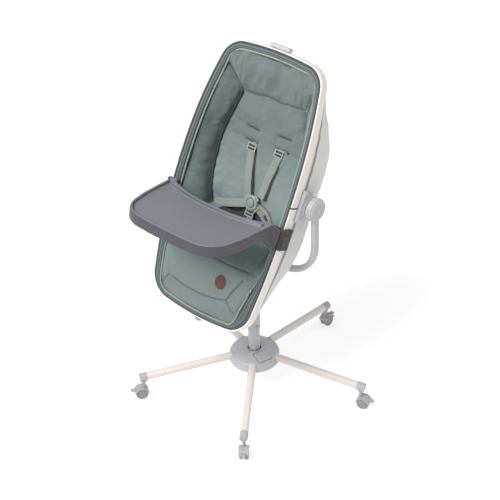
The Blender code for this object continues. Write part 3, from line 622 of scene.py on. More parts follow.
def build_yoke():
    level = YOKE_BOTTOM + ARM_THICK / 2
    centre = np.array((ARM_X - YOKE_CORNER_R, level + YOKE_CORNER_R))
    half = [np.array((ARM_X, z)) for z in np.linspace(PIVOT_Z - 0.02, centre[1] + 0.004, 14)]
    for turn in np.radians(np.linspace(0, -90, 28)):
        half.append(centre + YOKE_CORNER_R * np.array((math.cos(turn), math.sin(turn))))
    half += [np.array((x, level)) for x in np.linspace(ARM_X - YOKE_CORNER_R - 0.01, 0.004, 8)]
    path = np.array(half + [np.array((-p[0], p[1])) for p in reversed(half)])
    ring = round_angles(28)
    grow = (np.abs(np.cos(ring)) ** 3.0 + np.abs(np.sin(ring)) ** 3.0) ** (-1 / 3.0)
    a, b = ARM_THICK / 2 * np.cos(ring) * grow, ARM_DEEP / 2 * np.sin(ring) * grow
    ahead = np.gradient(path, axis=0)
    ahead /= np.linalg.norm(ahead, axis=1, keepdims=True)
    loops = [np.stack((p[0] - t[1] * a, POLE_Y + b, p[1] + t[0] * a), -1) for p, t in zip(path, ahead)]
    shapes = [loft("yoke_bar", loops)]
    near, far = YOKE_HEAD_X
    wide = far - near
    head = ((0.0, 0.0), (PIVOT_R - 0.0015, 0.0), (PIVOT_R, 0.0015), (PIVOT_R, wide - 0.003),
            (PIVOT_R - 0.001, wide - 0.001), (PIVOT_R - 0.003, wide), (0.0, wide))
    for side in (1, -1):
        shapes.append(turned(f"yoke_head_{side}", head, (side * near, POLE_Y, PIVOT_Z), (side, 0, 0)))
    collar = ((0.0208, 0.0), (0.0265, 0.0), (0.0265, 0.038), (0.0245, 0.044), (0.0208, 0.044))
    shapes.append(turned("yoke_collar", collar, (0, POLE_Y, 0.462)))
    yoke = moulded_together(join("yoke_arms", shapes), 0.0022, 6)
    dress(yoke, "white_plastic", "carriage", ["yoke"])
    for side, label in ((1, "left"), (-1, "right")):
        deep = CAP_X[1] - CAP_X[0]
        cap = ((0.0, 0.0), (PIVOT_R - 0.0042, 0.0), (PIVOT_R - 0.0042, deep - 0.0014),
               (PIVOT_R - 0.005, deep - 0.0004), (PIVOT_R - 0.0065, deep), (0.0125, deep - 0.0003),
               (0.0115, deep - 0.0012), (0.0105, deep - 0.0003), (0.0, deep - 0.0002))
        piece = turned("pivot_disc_" + label, cap, (side * CAP_X[0], POLE_Y, PIVOT_Z), (side, 0, 0))
        dress(piece, "white_plastic", "carriage", ["pivot_cap_" + label])
        build_bracket(side, label)


def build_bracket(side, label):
    near, far = BRACKET_X
    low = RIM_DEPTH + 0.0004
    disc = ((0.0, 0.0), (PIVOT_R - 0.001, 0.0), (PIVOT_R, 0.001), (PIVOT_R, far - near - 0.0015),
            (PIVOT_R - 0.0015, far - near), (0.0, far - near))
    shapes = [turned(f"bracket_disc_{side}", disc, (side * near, POLE_Y, PIVOT_Z), (side, 0, 0))]

    def tapered(w, s, h):
        return seat_points(w, PIVOT_S + (s - PIVOT_S) * (1 - 0.5 * (h - low) / (PIVOT_H - low)), h)

    wide = sorted((side * near, side * (far - 0.004)))
    shapes.append(bevelled_block(f"bracket_arm_{side}", (wide[0], PIVOT_S - 0.05, low),
                                 (wide[1], PIVOT_S + 0.05, PIVOT_H), tapered, 0.004, 3))
    bracket = moulded_together(join("pivot_arm_" + label, shapes), 0.0016, 6)
    dress(bracket, "white_plastic", "seat", ["pivot_bracket_" + label])


def build_column():
    top, button_z = YOKE_BOTTOM - 0.0003, 0.226
    profile = ((0.0188, top), (0.0205, top), (0.0205, 0.2125), (0.0202, 0.2108), (0.0195, 0.21),
               (0.0188, 0.21))
    sleeve = turned("column_cover", profile, (0, POLE_Y, 0))
    drill = rounded_rod("button_hole", 0.0054, around(CONTROLS_ANGLE, 0.01, 0, button_z),
                        around(CONTROLS_ANGLE, 0.03, 0, button_z), 0.001, 32)
    cut_away(sleeve, drill)
    dress(sleeve, "white_plastic", "carriage", ["column_sleeve"])
    button = rounded_rod("height_knob", 0.0048, around(CONTROLS_ANGLE, 0.019, 0, button_z),
                         around(CONTROLS_ANGLE, 0.0231, 0, button_z), 0.0012, 32)
    dress(button, "caster", "height_button", ["height_button"])


def build_base():
    profile = ((0.0215, 0.1302), (0.0228, 0.1306), (0.036, 0.1294), (0.05, 0.1274), (0.062, 0.1246),
               (0.071, 0.1212), (0.0765, 0.118), (0.079, 0.115), (0.08, 0.111), (0.08, 0.0902),
               (0.0794, HUB_BOTTOM), (0.077, HUB_BOTTOM), (0.0768, 0.111), (0.069, 0.1187),
               (0.05, 0.1242), (0.0215, 0.1275))
    cover = turned("hub_dome", profile, (0, POLE_Y, 0), steps=120)
    half = 0.0235

    def facing(along, aside, z):
        return np.array([around(CONTROLS_ANGLE, x, y, height) for x, y, height in zip(along, aside, z)])

    cutter = bevelled_block("pedal_opening", (0.0265, -half, 0.0985), (0.071, half, 0.15), facing, 0.004, 4)
    cut_away(cover, cutter)
    dress(cover, "white_plastic", "base", ["hub_cover"])
    pedal = bevelled_block("pedal_pad", (0.0285, -0.0225, 0.1045), (0.069, 0.0225, 0.132), facing, 0.004, 4)
    dress(pedal, "white_plastic", "pedal", ["foot_pedal"])
    for number, angle in enumerate(LEG_ANGLES, 1):
        def height(distance):
            share = (distance - LEG_START) / (LEG_END - LEG_START)
            return LEG_HEIGHTS[0] + share * (LEG_HEIGHTS[1] - LEG_HEIGHTS[0])

        start, end = (around(angle, d, 0, height(d)) for d in (LEG_SHOWS, LEG_END))
        leg = rounded_rod(f"leg_tube_{number}", LEG_R, start, end, 0.001)
        dress(leg, "leg_cream_shaded", "base", [f"leg_{number}"])


# ---------------------------------------------------------------- the seat's soft shell

def tub_depth(s):
    deep = smooth_step((HEAD_END - s) / TUB_RISE) * smooth_step((s - FOOT_END) / TUB_RISE)
    return TUB_START + (TUB_DEPTH - TUB_START) * deep


def build_tub():
    """The bassinet's outer cover: cloth over a soft shell, with folds that run down its sides."""
    outer = ((0.006, 0.0), (0.01, 0.18), (0.02, 0.45), (0.048, 0.62), (0.09, 0.74), (0.14, 0.83),
             (0.2, 0.9), (0.3, 0.96), (0.45, 1.0), (0.65, 1.0), (0.85, 1.0), (1.0, 1.0))
    shares = np.array(outer)
    fine = np.linspace(0, len(outer) - 1, 56)
    inward = np.interp(fine, range(len(outer)), shares[:, 0])
    deep = np.interp(fine, range(len(outer)), shares[:, 1])
    for _ in range(3):
        inward[1:-1] = (inward[:-2] + 2 * inward[1:-1] + inward[2:]) / 4
        deep[1:-1] = (deep[:-2] + 2 * deep[1:-1] + deep[2:]) / 4
    count = 320
    points, out = rim_outline(count)
    seam_shade, loops = [], []
    for level, (a, share) in enumerate(zip(inward, deep)):
        spine = np.clip(points[:, 1], *SPINE)
        w, s = points[:, 0] * (1 - a), points[:, 1] + (spine - points[:, 1]) * a
        h = TUB_START + share * (tub_depth(s) - TUB_START)
        slack = math.sin(math.pi * min(1, level / 26)) ** 1.2 if level < 26 else 0.0
        fold = noises(points[:, 1] * 26, np.full(count, level * 0.035), points[:, 0] * 9 + 3)
        ridge = noises(points[:, 1] * 60, np.full(count, level * 0.05), points[:, 0] * 20 + 7)
        lift = slack * (0.005 * fold + 0.0022 * ridge - 0.003)
        loops.append(seat_points(w + out[:, 0] * lift, s + out[:, 1] * lift, h))
        # painted shade: a dark line round the cover just below the rim, along the seam there
        seam_shade.append(np.full(count, 0.75 if level in (3, 4) else 0.0))
    faces = grid_faces(len(loops), count, wrap_columns=True)
    tub = mesh_object("tub_cover", np.concatenate(loops), faces, sharp=0)
    paint(tub, "seam_shade", np.concatenate(seam_shade))
    thick = tub.modifiers.new("cloth", "SOLIDIFY")
    thick.thickness = 0.0018
    thick.offset = -1.0
    apply_modifiers(tub)
    dress(tub, "pale", "seat", ["seat_tub"])


# ---------------------------------------------------------------- liner

def band_edge(out_s, s):
    """How far in from the rim the liner's edge band ends, and how deep its inner edge lies."""
    wide = 0.0228 - 0.01 * smooth_step(-np.asarray(out_s) * 1.6 - 0.4)
    deep = 0.003 + 0.0095 * smooth_step((np.asarray(s) - 0.03) / 0.12)
    deep = deep - 0.005 * smooth_step((np.asarray(s) - 0.6) / 0.08)
    return wide, deep


def foot_fold(w, s, out_w=1.0):
    """How much wider the edge band grows beside the child's left corner of the foot end."""
    across, along = smooth_step((w - 0.02) / 0.08), smooth_step((0.13 - s) / 0.18)
    return FOLD_WIDTH * across * along * smooth_step((out_w - 0.1) / 0.7)


def panel_and_wall(w, s):
    """The depths of the back or head panel and of the side wall at each place."""
    distance = inside_distance(w, s)
    wide, deep = band_edge(np.zeros_like(s), s)
    wide = wide - 0.01 * smooth_step((-0.045 - s) / 0.03)
    panel = np.interp(s, *zip(*LINER_PROFILE)) - np.interp(s, *zip(*PANEL_DISH)) * (w / PANEL_HALF) ** 2
    wall = deep + np.interp(s, *zip(*WALL_SLOPES)) * (distance - wide)
    return panel, wall, deep, distance - wide


def liner_height(w, s):
    """How deep the liner's skin lies behind the rim."""
    panel, wall, deep, inside = panel_and_wall(w, s)
    blend_width = 0.006
    gap = np.clip(0.5 + 0.5 * (wall - panel) / blend_width, 0, 1)
    seat = wall * (1 - gap) + panel * gap - blend_width * gap * (1 - gap)
    foot = deep - 0.006 * (1 - np.exp(-np.maximum(inside - foot_fold(w, s), 0) / 0.012))
    upper = smooth_step((s - 0.082) / 0.026)
    return foot * (1 - upper) + seat * upper


def beside_walls(s):
    """1 along the seat's deep side walls, falling to 0 at the shallow foot and head ends."""
    return smooth_step((s - 0.1) / 0.05) * smooth_step((0.64 - s) / 0.05)


def wall_foot():
    """Where the side wall meets the back and head panels, from the seat up to the edge band."""
    line = []
    for s in np.linspace(0.64, 0.212, 44):
        w = np.linspace(0.09, 0.2, 441)
        panel, wall, _, _ = panel_and_wall(w, np.full_like(w, s))
        line.append((float(w[np.argmax(wall < panel)]), float(s)))
    return line


HEAD_SEAM = [(-0.119, 0.57), (-0.07, 0.57), (-0.03, 0.5755), (0.02, 0.5715), (0.06, 0.577), (0.114, 0.579)]
FOOT_LINE = wall_foot()
WALL_FOOT = [point for point in FOOT_LINE if point[1] <= 0.573]
CORNER = [point for point in FOOT_LINE if point[1] > 0.568]


def mirrored(line):
    return [(-w, s) for w, s in line]


# each seam of the liner: where it runs, how deep and wide it pulls the padding in, how dark its painted shade
# is,
# and the radius of its dark cord: a thread, or in the wall-foot creases and strap slots a cord standing in for
# shade
SEAMS = [
    (HEAD_SEAM, 0.0034, 0.006, 0.55, 0.0007),
    (CORNER, 0.0034, 0.006, 0.6, 0.0009),
    (mirrored(CORNER), 0.0034, 0.006, 0.6, 0.0009),
    (WALL_FOOT, 0.005, 0.0075, 1.0, 0.0026),
    (mirrored(WALL_FOOT), 0.005, 0.0075, 1.0, 0.0026),
    ([(-0.15, 0.21), (0.0, 0.2), (0.15, 0.21)], 0.006, 0.006, 0.6, 0.0014),
    ([(-0.16, 0.094), (-0.05, 0.091), (0.06, 0.091), (0.16, 0.096)], 0.0026, 0.005, 0.5, 0.0007),
    ([(-0.153, -0.05), (-0.131, -0.014)], 0.0022, 0.005, 0.4, 0.0006),
    ([(-0.124, -0.016), (-0.065, -0.026), (-0.004, -0.027), (0.054, -0.02), (0.095, -0.008)],
     0.0024, 0.005, 0.4, 0.0006),
    ([(0.095, -0.008), (0.131, 0.068)], 0.0024, 0.005, 0.4, 0.0006),
    ([(0.095, -0.008), (0.13, -0.04)], 0.0024, 0.005, 0.4, 0.0006),
    ([(-0.131, -0.014), (-0.153, 0.04)], 0.0014, 0.004, 0.2, 0.0),
    ([(0.039, 0.477), (0.0895, 0.479)], 0.0055, 0.0065, 0.55, 0.0017),
    ([(-0.08, 0.4705), (-0.0385, 0.469)], 0.0055, 0.0065, 0.55, 0.0017),
    ([(0.036, 0.435), (0.083, 0.438)], 0.0055, 0.0065, 0.55, 0.0017),
    ([(-0.08, 0.4325), (-0.032, 0.431)], 0.0055, 0.0065, 0.55, 0.0017),
]


def polyline_distance(points, line):
    nearest = np.full(len(points), 9.0)
    for start, end in zip(line, line[1:]):
        span = end - start
        share = np.clip(((points - start) @ span) / (span @ span), 0, 1)
        nearest = np.minimum(nearest, np.linalg.norm(points - start - share[:, None] * span, axis=1))
    return nearest


def seam_pull_and_shade(w, s, h):
    """How deep the seams pull each point in, and how dark the painted shade along their grooves makes it."""
    pull, dark = np.zeros(len(w)), np.zeros(len(w))
    points = np.stack((w, s, h), -1)
    for line, depth, width, shade, _ in SEAMS:
        flat = np.array(line, float)
        run = run_along(flat)
        at = np.linspace(0, run[-1], max(3, int(run[-1] / 0.006)))
        lw, ls = (np.interp(at, run, flat[:, k]) for k in (0, 1))
        away = polyline_distance(points, np.stack((lw, ls, liner_height(lw, ls)), -1))
        near = np.exp(-(away / width) ** 2)
        pull = np.maximum(pull, depth * near)
        dark = np.maximum(dark, shade * np.exp(-(away / (0.6 * width)) ** 2))
    return pull, dark


def liner_grid():
    """Rows and columns of points over the seat's opening, closer together on the walls."""
    middle = np.linspace(0, 0.58, 11)[:-1]
    outer = np.linspace(0.58, 1, 24)
    right = np.concatenate((middle, outer))
    columns = np.concatenate((-right[:0:-1], right))
    rows = np.linspace(-0.08, 0.688, 128)
    inset, _ = band_edge(OUTWARD[:, 1], OUTLINE[:, 1])
    edge = OUTLINE - OUTWARD * (inset - 0.003)[:, None]
    right_edge = edge[edge[:, 0] > 0]
    right_edge = right_edge[np.argsort(right_edge[:, 1])]
    half = np.interp(rows, right_edge[:, 1], right_edge[:, 0])
    w = half[:, None] * columns[None]
    s = np.repeat(rows[:, None], len(columns), 1)
    return w, s


def inflate(obj, pinned, frames, cap, pressure=4.0):
    """Fills a closed cloth form with air while some of its points stay put."""
    group = obj.vertex_groups.new(name="held")
    group.add([int(k) for k in np.flatnonzero(pinned)], 1.0, "REPLACE")
    before = places_of(obj.data.vertices)
    cloth = obj.modifiers.new("cloth", "CLOTH")
    for key, value in dict(quality=5, mass=0.2, tension_stiffness=12, compression_stiffness=6,
                           shear_stiffness=4, bending_stiffness=0.35, use_pressure=True,
                           uniform_pressure_force=pressure, shrink_min=-0.035,
                           vertex_group_mass="held").items():
        setattr(cloth.settings, key, value)
    cloth.settings.effector_weights.gravity = 0
    cloth.collision_settings.use_collision = False
    cloth.point_cache.frame_start = 1
    cloth.point_cache.frame_end = frames
    scene = bpy.context.scene
    for number in range(1, frames + 1):
        scene.frame_set(number)
    graph = bpy.context.evaluated_depsgraph_get()
    held = obj.evaluated_get(graph).data
    after = places_of(held.vertices)
    obj.modifiers.clear()
    scene.frame_set(1)
    move = after - before
    length = np.linalg.norm(move, axis=1, keepdims=True)
    move *= np.minimum(1, cap / np.maximum(length, 1e-9))
    obj.data.vertices.foreach_set("co", (before + move).astype(np.float32).ravel())
    obj.data.update()


def up_wall(w, s):
    """How far out past the foot of the side wall points lie."""
    foot = np.array(WALL_FOOT)[::-1]
    return np.abs(w) - np.interp(s, foot[:, 1], foot[:, 0])


def wrinkles(w, s, h):
    """Soft creases of the padding: broad on the panels, short puckers beside the deep seams."""
    broad = noises(w * 17 + s * 9, s * 15 - w * 8, np.full_like(w, 1.3))
    sharp = 1 - 2.4 * np.hypot(noises(w * 26 - s * 17, s * 22 + w * 12, np.full_like(w, 5.1)), 0.09)
    pucker = noises(s * 95, h * 12, np.where(w > 0, 8.3, 2.9))
    past = up_wall(w, s)
    away = np.abs(past)
    near = np.exp(-(away / 0.018) ** 2) - np.exp(-(away / 0.007) ** 2)
    near = near * smooth_step((s - 0.18) / 0.04) * smooth_step((0.58 - s) / 0.03)
    head = smooth_step((s - 0.55) / 0.03)
    upper = smooth_step((s - 0.11) / 0.03)
    calm = upper * (1 - 0.45 * smooth_step(past / 0.012))
    rolling = calm * (0.0034 + 0.003 * head) * broad + (1 - upper) * 0.0013 * broad
    return rolling - calm * (0.0024 + 0.003 * head) * np.maximum(sharp, 0) + 0.0048 * near * pucker


def build_liner():
    w, s = liner_grid()
    h = liner_height(w, s)
    rows, columns = w.shape
    _, _, _, inside = panel_and_wall(w, s)
    beside = beside_walls(s) * (1 - smooth_step((inside - 0.028) / 0.02))
    front = seat_points(w, s, h + FRONT_SINK).reshape(-1, 3)
    back = seat_points(w, s, h + SKIN_THICK + WALL_EXTRA * beside).reshape(-1, 3)
    size = rows * columns
    liner = closed_pad("liner_padding", front, back, rows, columns)
    points = places_of(liner.data.vertices)
    pw, ps, ph = seat_coordinates(points)
    is_front = np.arange(len(points)) < size
    paint(liner, "front", is_front)
    _, dark = seam_pull_and_shade(pw, ps, ph)
    inside = inside_distance(pw, ps)
    cap = 0.0035 + 0.005 * smooth_step((inside - 0.045) / 0.015) * smooth_step((ps - 0.082) / 0.026)
    inflate(liner, ~is_front | (inside < 0.0275 + foot_fold(pw, ps)) | (dark > 0.3), 20, cap[:, None])
    fine = liner.modifiers.new("fine", "SUBSURF")
    fine.levels = fine.render_levels = 1
    apply_modifiers(liner)
    points = places_of(liner.data.vertices)
    pw, ps, ph = seat_coordinates(points)
    shares = np.empty(len(points), np.float32)
    liner.data.attributes["front"].data.foreach_get("value", shares)
    is_front = shares > 0.5
    pull, dark = seam_pull_and_shade(pw, ps, ph)
    ph = ph + np.where(is_front, pull + wrinkles(pw, ps, ph), 0)
    moved = seat_points(pw, ps, ph)
    liner.data.vertices.foreach_set("co", moved.astype(np.float32).ravel())
    # painted shade along s: the cloth darker where it gets less light
    painted_shade = np.interp(ps, *zip(*LINER_PAINTED_SHADE))
    # painted shade: a dark ragged line along the crease at the foot of each side wall, added to the seams'
    # painted shade
    past = up_wall(pw, ps)
    ragged = noises(ps * 60, np.where(pw > 0, 2.0, 6.0), np.full_like(ps, 0.7))
    crease_shade = np.exp(-(past / np.where(past > 0, 0.0085 + 0.004 * ragged, 0.0035 + 0.003 * ragged)) ** 2)
    dark = np.maximum(dark, 0.8 * crease_shade * (ps > 0.2) * (ps < 0.565))
    paint(liner, "seam_shade", np.where(is_front, dark, 0))
    paint(liner, "painted_shade", painted_shade)
    liner.data.shade_smooth()
    liner.data.update()
    dress(liner, "sage", "seat", ["seat_liner", "foot_panel"])
    return liner


def build_band():
    """The liner's edge band all round the rim: an outer welt, a flat band and a pale piping cord."""
    inset, deep = band_edge(OUTWARD[:, 1], OUTLINE[:, 1])
    fold = foot_fold(OUTLINE[:, 0], OUTLINE[:, 1], OUTWARD[:, 0])
    inset = inset + fold
    # each ring of the band: its share of the band's width, its height, and how dark its painted shade is,
    # darkest in the gap at the rim, the groove near the outer edge, on both sides of the piping and where the
    # band tucks under the liner
    share_points = ((-0.012, 0.009, 0), (-0.01, 0.001, 0.3), (0.02, -0.0016, 0.25), (0.07, -0.0024, 0),
                    (0.13, -0.0022, 0.0), (0.16, -0.0008, 1.0), (0.2, 0.0002, 1.0), (0.24, -0.0012, 0.4),
                    (0.29, -0.0024, 0), (0.45, -0.0028, 0.0), (0.6, -0.0022, 0.0), (0.7, -0.0016, 0.0),
                    (0.76, -0.0004, 0.8), (0.8, 0.0006, 1.0), (0.86, 0.001, 0.8), (0.93, 0.0014, 0.8),
                    (0.97, 0.0022, 1.0), (1.06, 0.003, 1.0), (1.16, 0.0, 0.8), (1.3, 0.0, 0.4),
                    (1.75, 0.0, 0.0))
    loops, band_shade = [], []
    for share, height, dark in share_points:
        slope = np.clip(share, 0, 1) ** 1.5
        d = share * inset
        w, s = (OUTLINE - OUTWARD * d[:, None]).T
        under_skin = liner_height(w, s) + 0.0035 + (0.004 + 0.027 * beside_walls(s)) * (share - 1)
        loops.append(seat_points(w, s, under_skin if share > 1.1 else deep * slope + height))
        # painted shade also darkens the band where it widens into the fold beside the foot end's corner
        band_shade.append(np.maximum(dark, 18 * fold * (0 < share < 0.9)))
    w, s = (OUTLINE - OUTWARD * 1.6 * inset[:, None]).T
    under = [seat_points(w, s, liner_height(w, s) + 0.012 + 0.018 * beside_walls(s))]
    w, s = (OUTLINE - OUTWARD * 0.0035).T
    under.append(seat_points(w, s, 0.0072))
    band = loft("edge_band", loops + under, wrap=True, sharp=0)
    paint(band, "seam_shade", np.concatenate(band_shade))
    dress(band, "band", "seat")
    build_edge_cord("zip_chain", 0.0018, 1.6, 0.95, -0.0004, "piping", 1600, 0.3)
    build_edge_cord("outer_welt", 0.0019, 1.0, 0.05, -0.0008, "thread", 480, 0.0)
    build_edge_cord("band_seam", 0.0009, 1.0, 0.52, -0.0026, "thread", 480, 0.0)
    build_zip_pull()


def build_edge_cord(name, radius, flat, share, lift, look, count, teeth):
    """A cord along the edge band at a share of its width, wider than it is high by flat. teeth makes
    every second ring stand out."""
    points, out = rim_outline(count)
    inset, deep = band_edge(out[:, 1], points[:, 1])
    inset = inset + foot_fold(points[:, 0], points[:, 1], out[:, 0])
    ring = round_angles(8)
    loops = []
    for k in range(count):
        r = radius * (1 + teeth * (1 if k % 2 else -1))
        lay = inset[k] * share + flat * r * np.cos(ring)
        level = deep[k] * min(1, share) ** 1.5 + lift
        loops.append(seat_points(points[k, 0] - out[k, 0] * lay, points[k, 1] - out[k, 1] * lay,
                                 level + r * np.sin(ring)))
    cord = loft(name, loops, wrap=True, sharp=0)
    dress(cord, look, "seat")


def build_zip_pull():
    """The zip's slider and the tab that hangs from it, on the child's left of the foot end."""
    def along_zip(w, s, h):
        turn = math.radians(-20)
        return seat_points(0.169 + w * math.cos(turn) - s * math.sin(turn),
                           0.052 + w * math.sin(turn) + s * math.cos(turn), h)

    slider = bevelled_block("zip_slider", (-0.0032, -0.0048, -0.0036), (0.0032, 0.0048, 0.001), along_zip,
                            0.0012, 3)
    tab = bevelled_block("zip_tab", (-0.0022, -0.02, -0.005), (0.0022, -0.003, -0.0036), along_zip,
                         0.0006, 3)
    pull = join("zip_pull", [slider, tab])
    pull.data.shade_smooth()
    dress(pull, "steel", "seat")


def build_threads(liner):
    """The sewn lines of the liner: a fine dark cord laid in each seam; in the wall-foot creases and the strap
    slots the wider cord stands in for their shade.
    """
    tree = BVHTree.FromObject(liner, bpy.context.evaluated_depsgraph_get())
    ring = round_angles(6)
    shapes = []
    for number, (line, _, _, _, radius) in enumerate(SEAMS):
        if not radius:
            continue
        flat = np.array(line, float)
        run = run_along(flat)
        at = np.linspace(0, run[-1], max(4, int(run[-1] / 0.003)))
        w, s = (np.interp(at, run, flat[:, k]) for k in (0, 1))
        waver = noises(at * 45, np.full_like(at, number * 3.7), np.full_like(at, 0.4))
        waver *= 0.0003 if len(line) > 20 else 0.0012
        ahead = np.gradient(np.stack((w, s), -1), axis=0)
        ahead /= np.linalg.norm(ahead, axis=1, keepdims=True)
        w, s = w - ahead[:, 1] * waver, s + ahead[:, 0] * waver
        if len(line) > 20:
            h = panel_and_wall(w, s)[0] - 0.001
        else:
            h = np.array([on_skin(tree, a, b) for a, b in zip(w, s)])
        h[1:-1] = (h[:-2] + h[1:-1] + h[2:]) / 3
        thick = radius * np.clip(np.minimum(at, at[-1] - at) / (2.5 * radius), 0.15, 1)
        loops = []
        for k, r in enumerate(thick):
            aside = r * np.cos(ring)
            loops.append(seat_points(w[k] - ahead[k, 1] * aside, s[k] + ahead[k, 0] * aside,
                                     h[k] + r * np.sin(ring)))
        shapes.append(loft(f"thread_{number}", loops, sharp=0))
    threads = join("liner_threads", shapes)
    threads.data.shade_smooth()
    dress(threads, "thread", "seat")


# ---------------------------------------------------------------- harness

def on_skin(tree, w, s):
    """The depth of the liner's skin under a point of the seat frame."""
    start = Vector(seat_points(w, s, -0.06))
    ahead = Vector(seat_points(w, s, 0.3)) - start
    hit = tree.ray_cast(start, ahead.normalized(), 0.5)[0]
    if hit is None:
        return float(liner_height(np.array([w]), np.array([s]))[0])
    return float(seat_coordinates(np.array([hit[:]]))[2][0])


def strap(name, points, width, tree, look="webbing", thick=0.0015, stands_for=()):
    """A strap along points (w, s, lift off the skin)."""
    flat = np.array(points, float)
    run = run_along(flat[:, :2])
    at = np.linspace(0, run[-1], max(8, int(run[-1] / 0.004)))
    w, s, up = (np.interp(at, run, flat[:, k]) for k in range(3))
    for _ in range(6):
        for values in (w, s, up):
            values[1:-1] = (values[:-2] + 2 * values[1:-1] + values[2:]) / 4
    depth = np.array([min(on_skin(tree, a, b), on_skin(tree, a + 0.006, b), on_skin(tree, a - 0.006, b))
                      for a, b in zip(w, s)]) - up
    for _ in range(4):
        depth[1:-1] = (depth[:-2] + 2 * depth[1:-1] + depth[2:]) / 4
    middle = np.stack((w, s, depth), -1)
    ahead = np.gradient(middle, axis=0)
    across = np.stack((ahead[:, 1], -ahead[:, 0], np.zeros(len(at))), -1)
    across /= np.linalg.norm(across, axis=1, keepdims=True)
    sides = np.array((-1, -0.9, -0.45, 0, 0.45, 0.9, 1))
    rise = np.zeros((len(sides), 3))
    rise[:, 2] = thick / 2 * (1 - 0.6 * (np.abs(sides) > 0.95))
    loops, runs, edges = [], [], []
    for k in range(len(at)):
        flat = middle[k] + across[k] * width / 2 * sides[:, None]
        loop = np.vstack((flat - rise, (flat + rise)[::-1]))
        loops.append(seat_points(loop[:, 0], loop[:, 1], loop[:, 2]))
        runs += [at[k]] * len(loop)
        edges += [*np.abs(sides), *np.abs(sides[::-1])]
    made = loft(name, loops, sharp=60)
    paint(made, "run", runs)
    paint(made, "side", edges)
    dress(made, look, "seat", stands_for)
    return made


def build_harness(liner):
    graph = bpy.context.evaluated_depsgraph_get()
    tree = BVHTree.FromObject(liner, graph)
    hub = on_skin(tree, BUCKLE_W, BUCKLE_S) - 0.006

    def near_skin(lift_from):
        def place_by(w, s, lift):
            return seat_points(w, s, lift_from - lift)
        return place_by

    shoulders = (("left", [(0.064, 0.443, -0.004), (0.061, 0.438, 0.0015), (0.053, 0.417, 0.004),
                           (0.0445, 0.385, 0.003), (0.0325, 0.341, 0.005), (0.018, 0.278, 0.01)],
                  (0.054, 0.4275)),
                 ("right", [(-0.056, 0.431, -0.004), (-0.052, 0.425, 0.0015), (-0.0455, 0.405, 0.005),
                            (-0.042, 0.372, 0.007), (-0.0375, 0.335, 0.009), (-0.03, 0.277, 0.01)],
                  (-0.045, 0.4155)))
    for label, web, (slide_w, slide_s) in shoulders:
        strap("shoulder_web_" + label, web, 0.028, tree, stands_for=["shoulder_strap_" + label])
        build_adjuster("shoulder_slide_" + label, (slide_w, slide_s),
                       near_skin(on_skin(tree, slide_w, slide_s)), 0.0045, ["strap_adjuster_" + label])
    strap("lap_web_right", [(-0.146, 0.207, 0.001), (-0.13, 0.212, 0.006), (-0.108, 0.219, 0.008),
                            (-0.036, 0.2436, 0.01), (-0.022, 0.25, 0.011)], 0.027, tree,
          stands_for=["lap_strap_right"])
    strap("lap_web_left", [(0.06, 0.184, 0.003), (0.055, 0.198, 0.006), (0.046, 0.216, 0.007),
                           (0.031, 0.234, 0.009), (0.012, 0.245, 0.011)], 0.021, tree,
          stands_for=["lap_strap_left"])
    build_seat_pad(tree)
    for label, web, _ in shoulders:
        loop = [(w + 0.0065 if label == "left" else w + 0.0055, s - 0.001, max(lift - 0.0034, -0.003))
                for w, s, lift in web]
        strap("shoulder_loop_" + label, loop, 0.026, tree, look="webbing_shade", thick=0.0012)
    strap("lap_fold_left", [(0.016, 0.25, 0.006), (0.04, 0.24, 0.0035), (0.057, 0.226, 0.003),
                            (0.068, 0.208, 0.003), (0.07, 0.192, 0.002)], 0.02, tree,
          look="webbing_shade", thick=0.0012)
    strap("lap_loop_left", [(0.017, 0.254, 0.009), (0.044, 0.246, 0.007), (0.066, 0.231, 0.007),
                            (0.078, 0.213, 0.007), (0.08, 0.195, 0.005)], 0.0102, tree, thick=0.0012)
    strap("crotch_web", [(BUCKLE_W, BUCKLE_S - 0.018, 0.008), (-0.01, 0.222, 0.006),
                         (-0.009, 0.205, 0.008), (-0.006, 0.186, 0.008), (-0.004, 0.172, -0.002)], 0.024, tree,
          stands_for=["crotch_strap"])
    build_adjuster("crotch_slide", (-0.011, 0.219), near_skin(on_skin(tree, -0.011, 0.219)), 0.01,
                   ["crotch_adjuster"])
    build_buckle(hub)


def build_seat_pad(tree):
    """The dark cloth panel of the seat that the lap straps cross."""
    across, along = np.linspace(-1, 1, 45), np.linspace(0, 1, 31)
    front, back = [], []
    for t in along:
        for x in across:
            s = 0.168 + (0.078 - 0.03 * max(0, -x) - 0.012 * max(0, x)) * t
            w = x * (0.124 - 0.012 * t) if x < 0 else x * (0.05 - 0.01 * t)
            edge = min(1, (1 - abs(x)) * 8, t * 5, (1 - t) * 5)
            depth = on_skin(tree, w, s)
            front.append(seat_points(w, s, depth - 0.0024 * smooth_step(edge) - 0.0002))
            back.append(seat_points(w, s, depth + 0.002))
    pad = closed_pad("seat_pad", front, back, len(along), len(across))
    dress(pad, "dark_cloth", "seat")


def build_adjuster(name, centre, place_by, lift, stands_for):
    """A three-bar slide: a rounded frame with a bar across it, and a dark plate behind its windows standing in
    for the shade in them.
    """
    w, s = centre
    shapes = []
    half_w, half_s, bar, thick = 0.0158, 0.0112, 0.0028, 0.0042
    bars = ((-half_w, half_w, half_s - bar, half_s), (-half_w, half_w, -half_s, bar - half_s),
            (-half_w, bar - half_w, -half_s, half_s), (half_w - bar, half_w, -half_s, half_s),
            (-half_w, half_w, -bar / 2, bar / 2))
    for low_w, high_w, low_s, high_s in bars:
        shapes.append(bevelled_block(name + str(len(shapes)), (w + low_w, s + low_s, lift),
                                     (w + high_w, s + high_s, lift + thick), place_by, 0.001, 3))
    piece = moulded_together(join(name, shapes), 0.0007, 2)
    dress(piece, "adjuster", "seat", stands_for)
    # painted shade: a dark plate behind the windows where the inside of the slide is in shade
    shade = bevelled_block(name + "_window_shade", (w - half_w + 0.001, s - half_s + 0.001, lift - 0.0006),
                           (w + half_w - 0.001, s + half_s - 0.001, lift + 0.0012), place_by, 0.0003, 1)
    dress(shade, "thread", "seat")


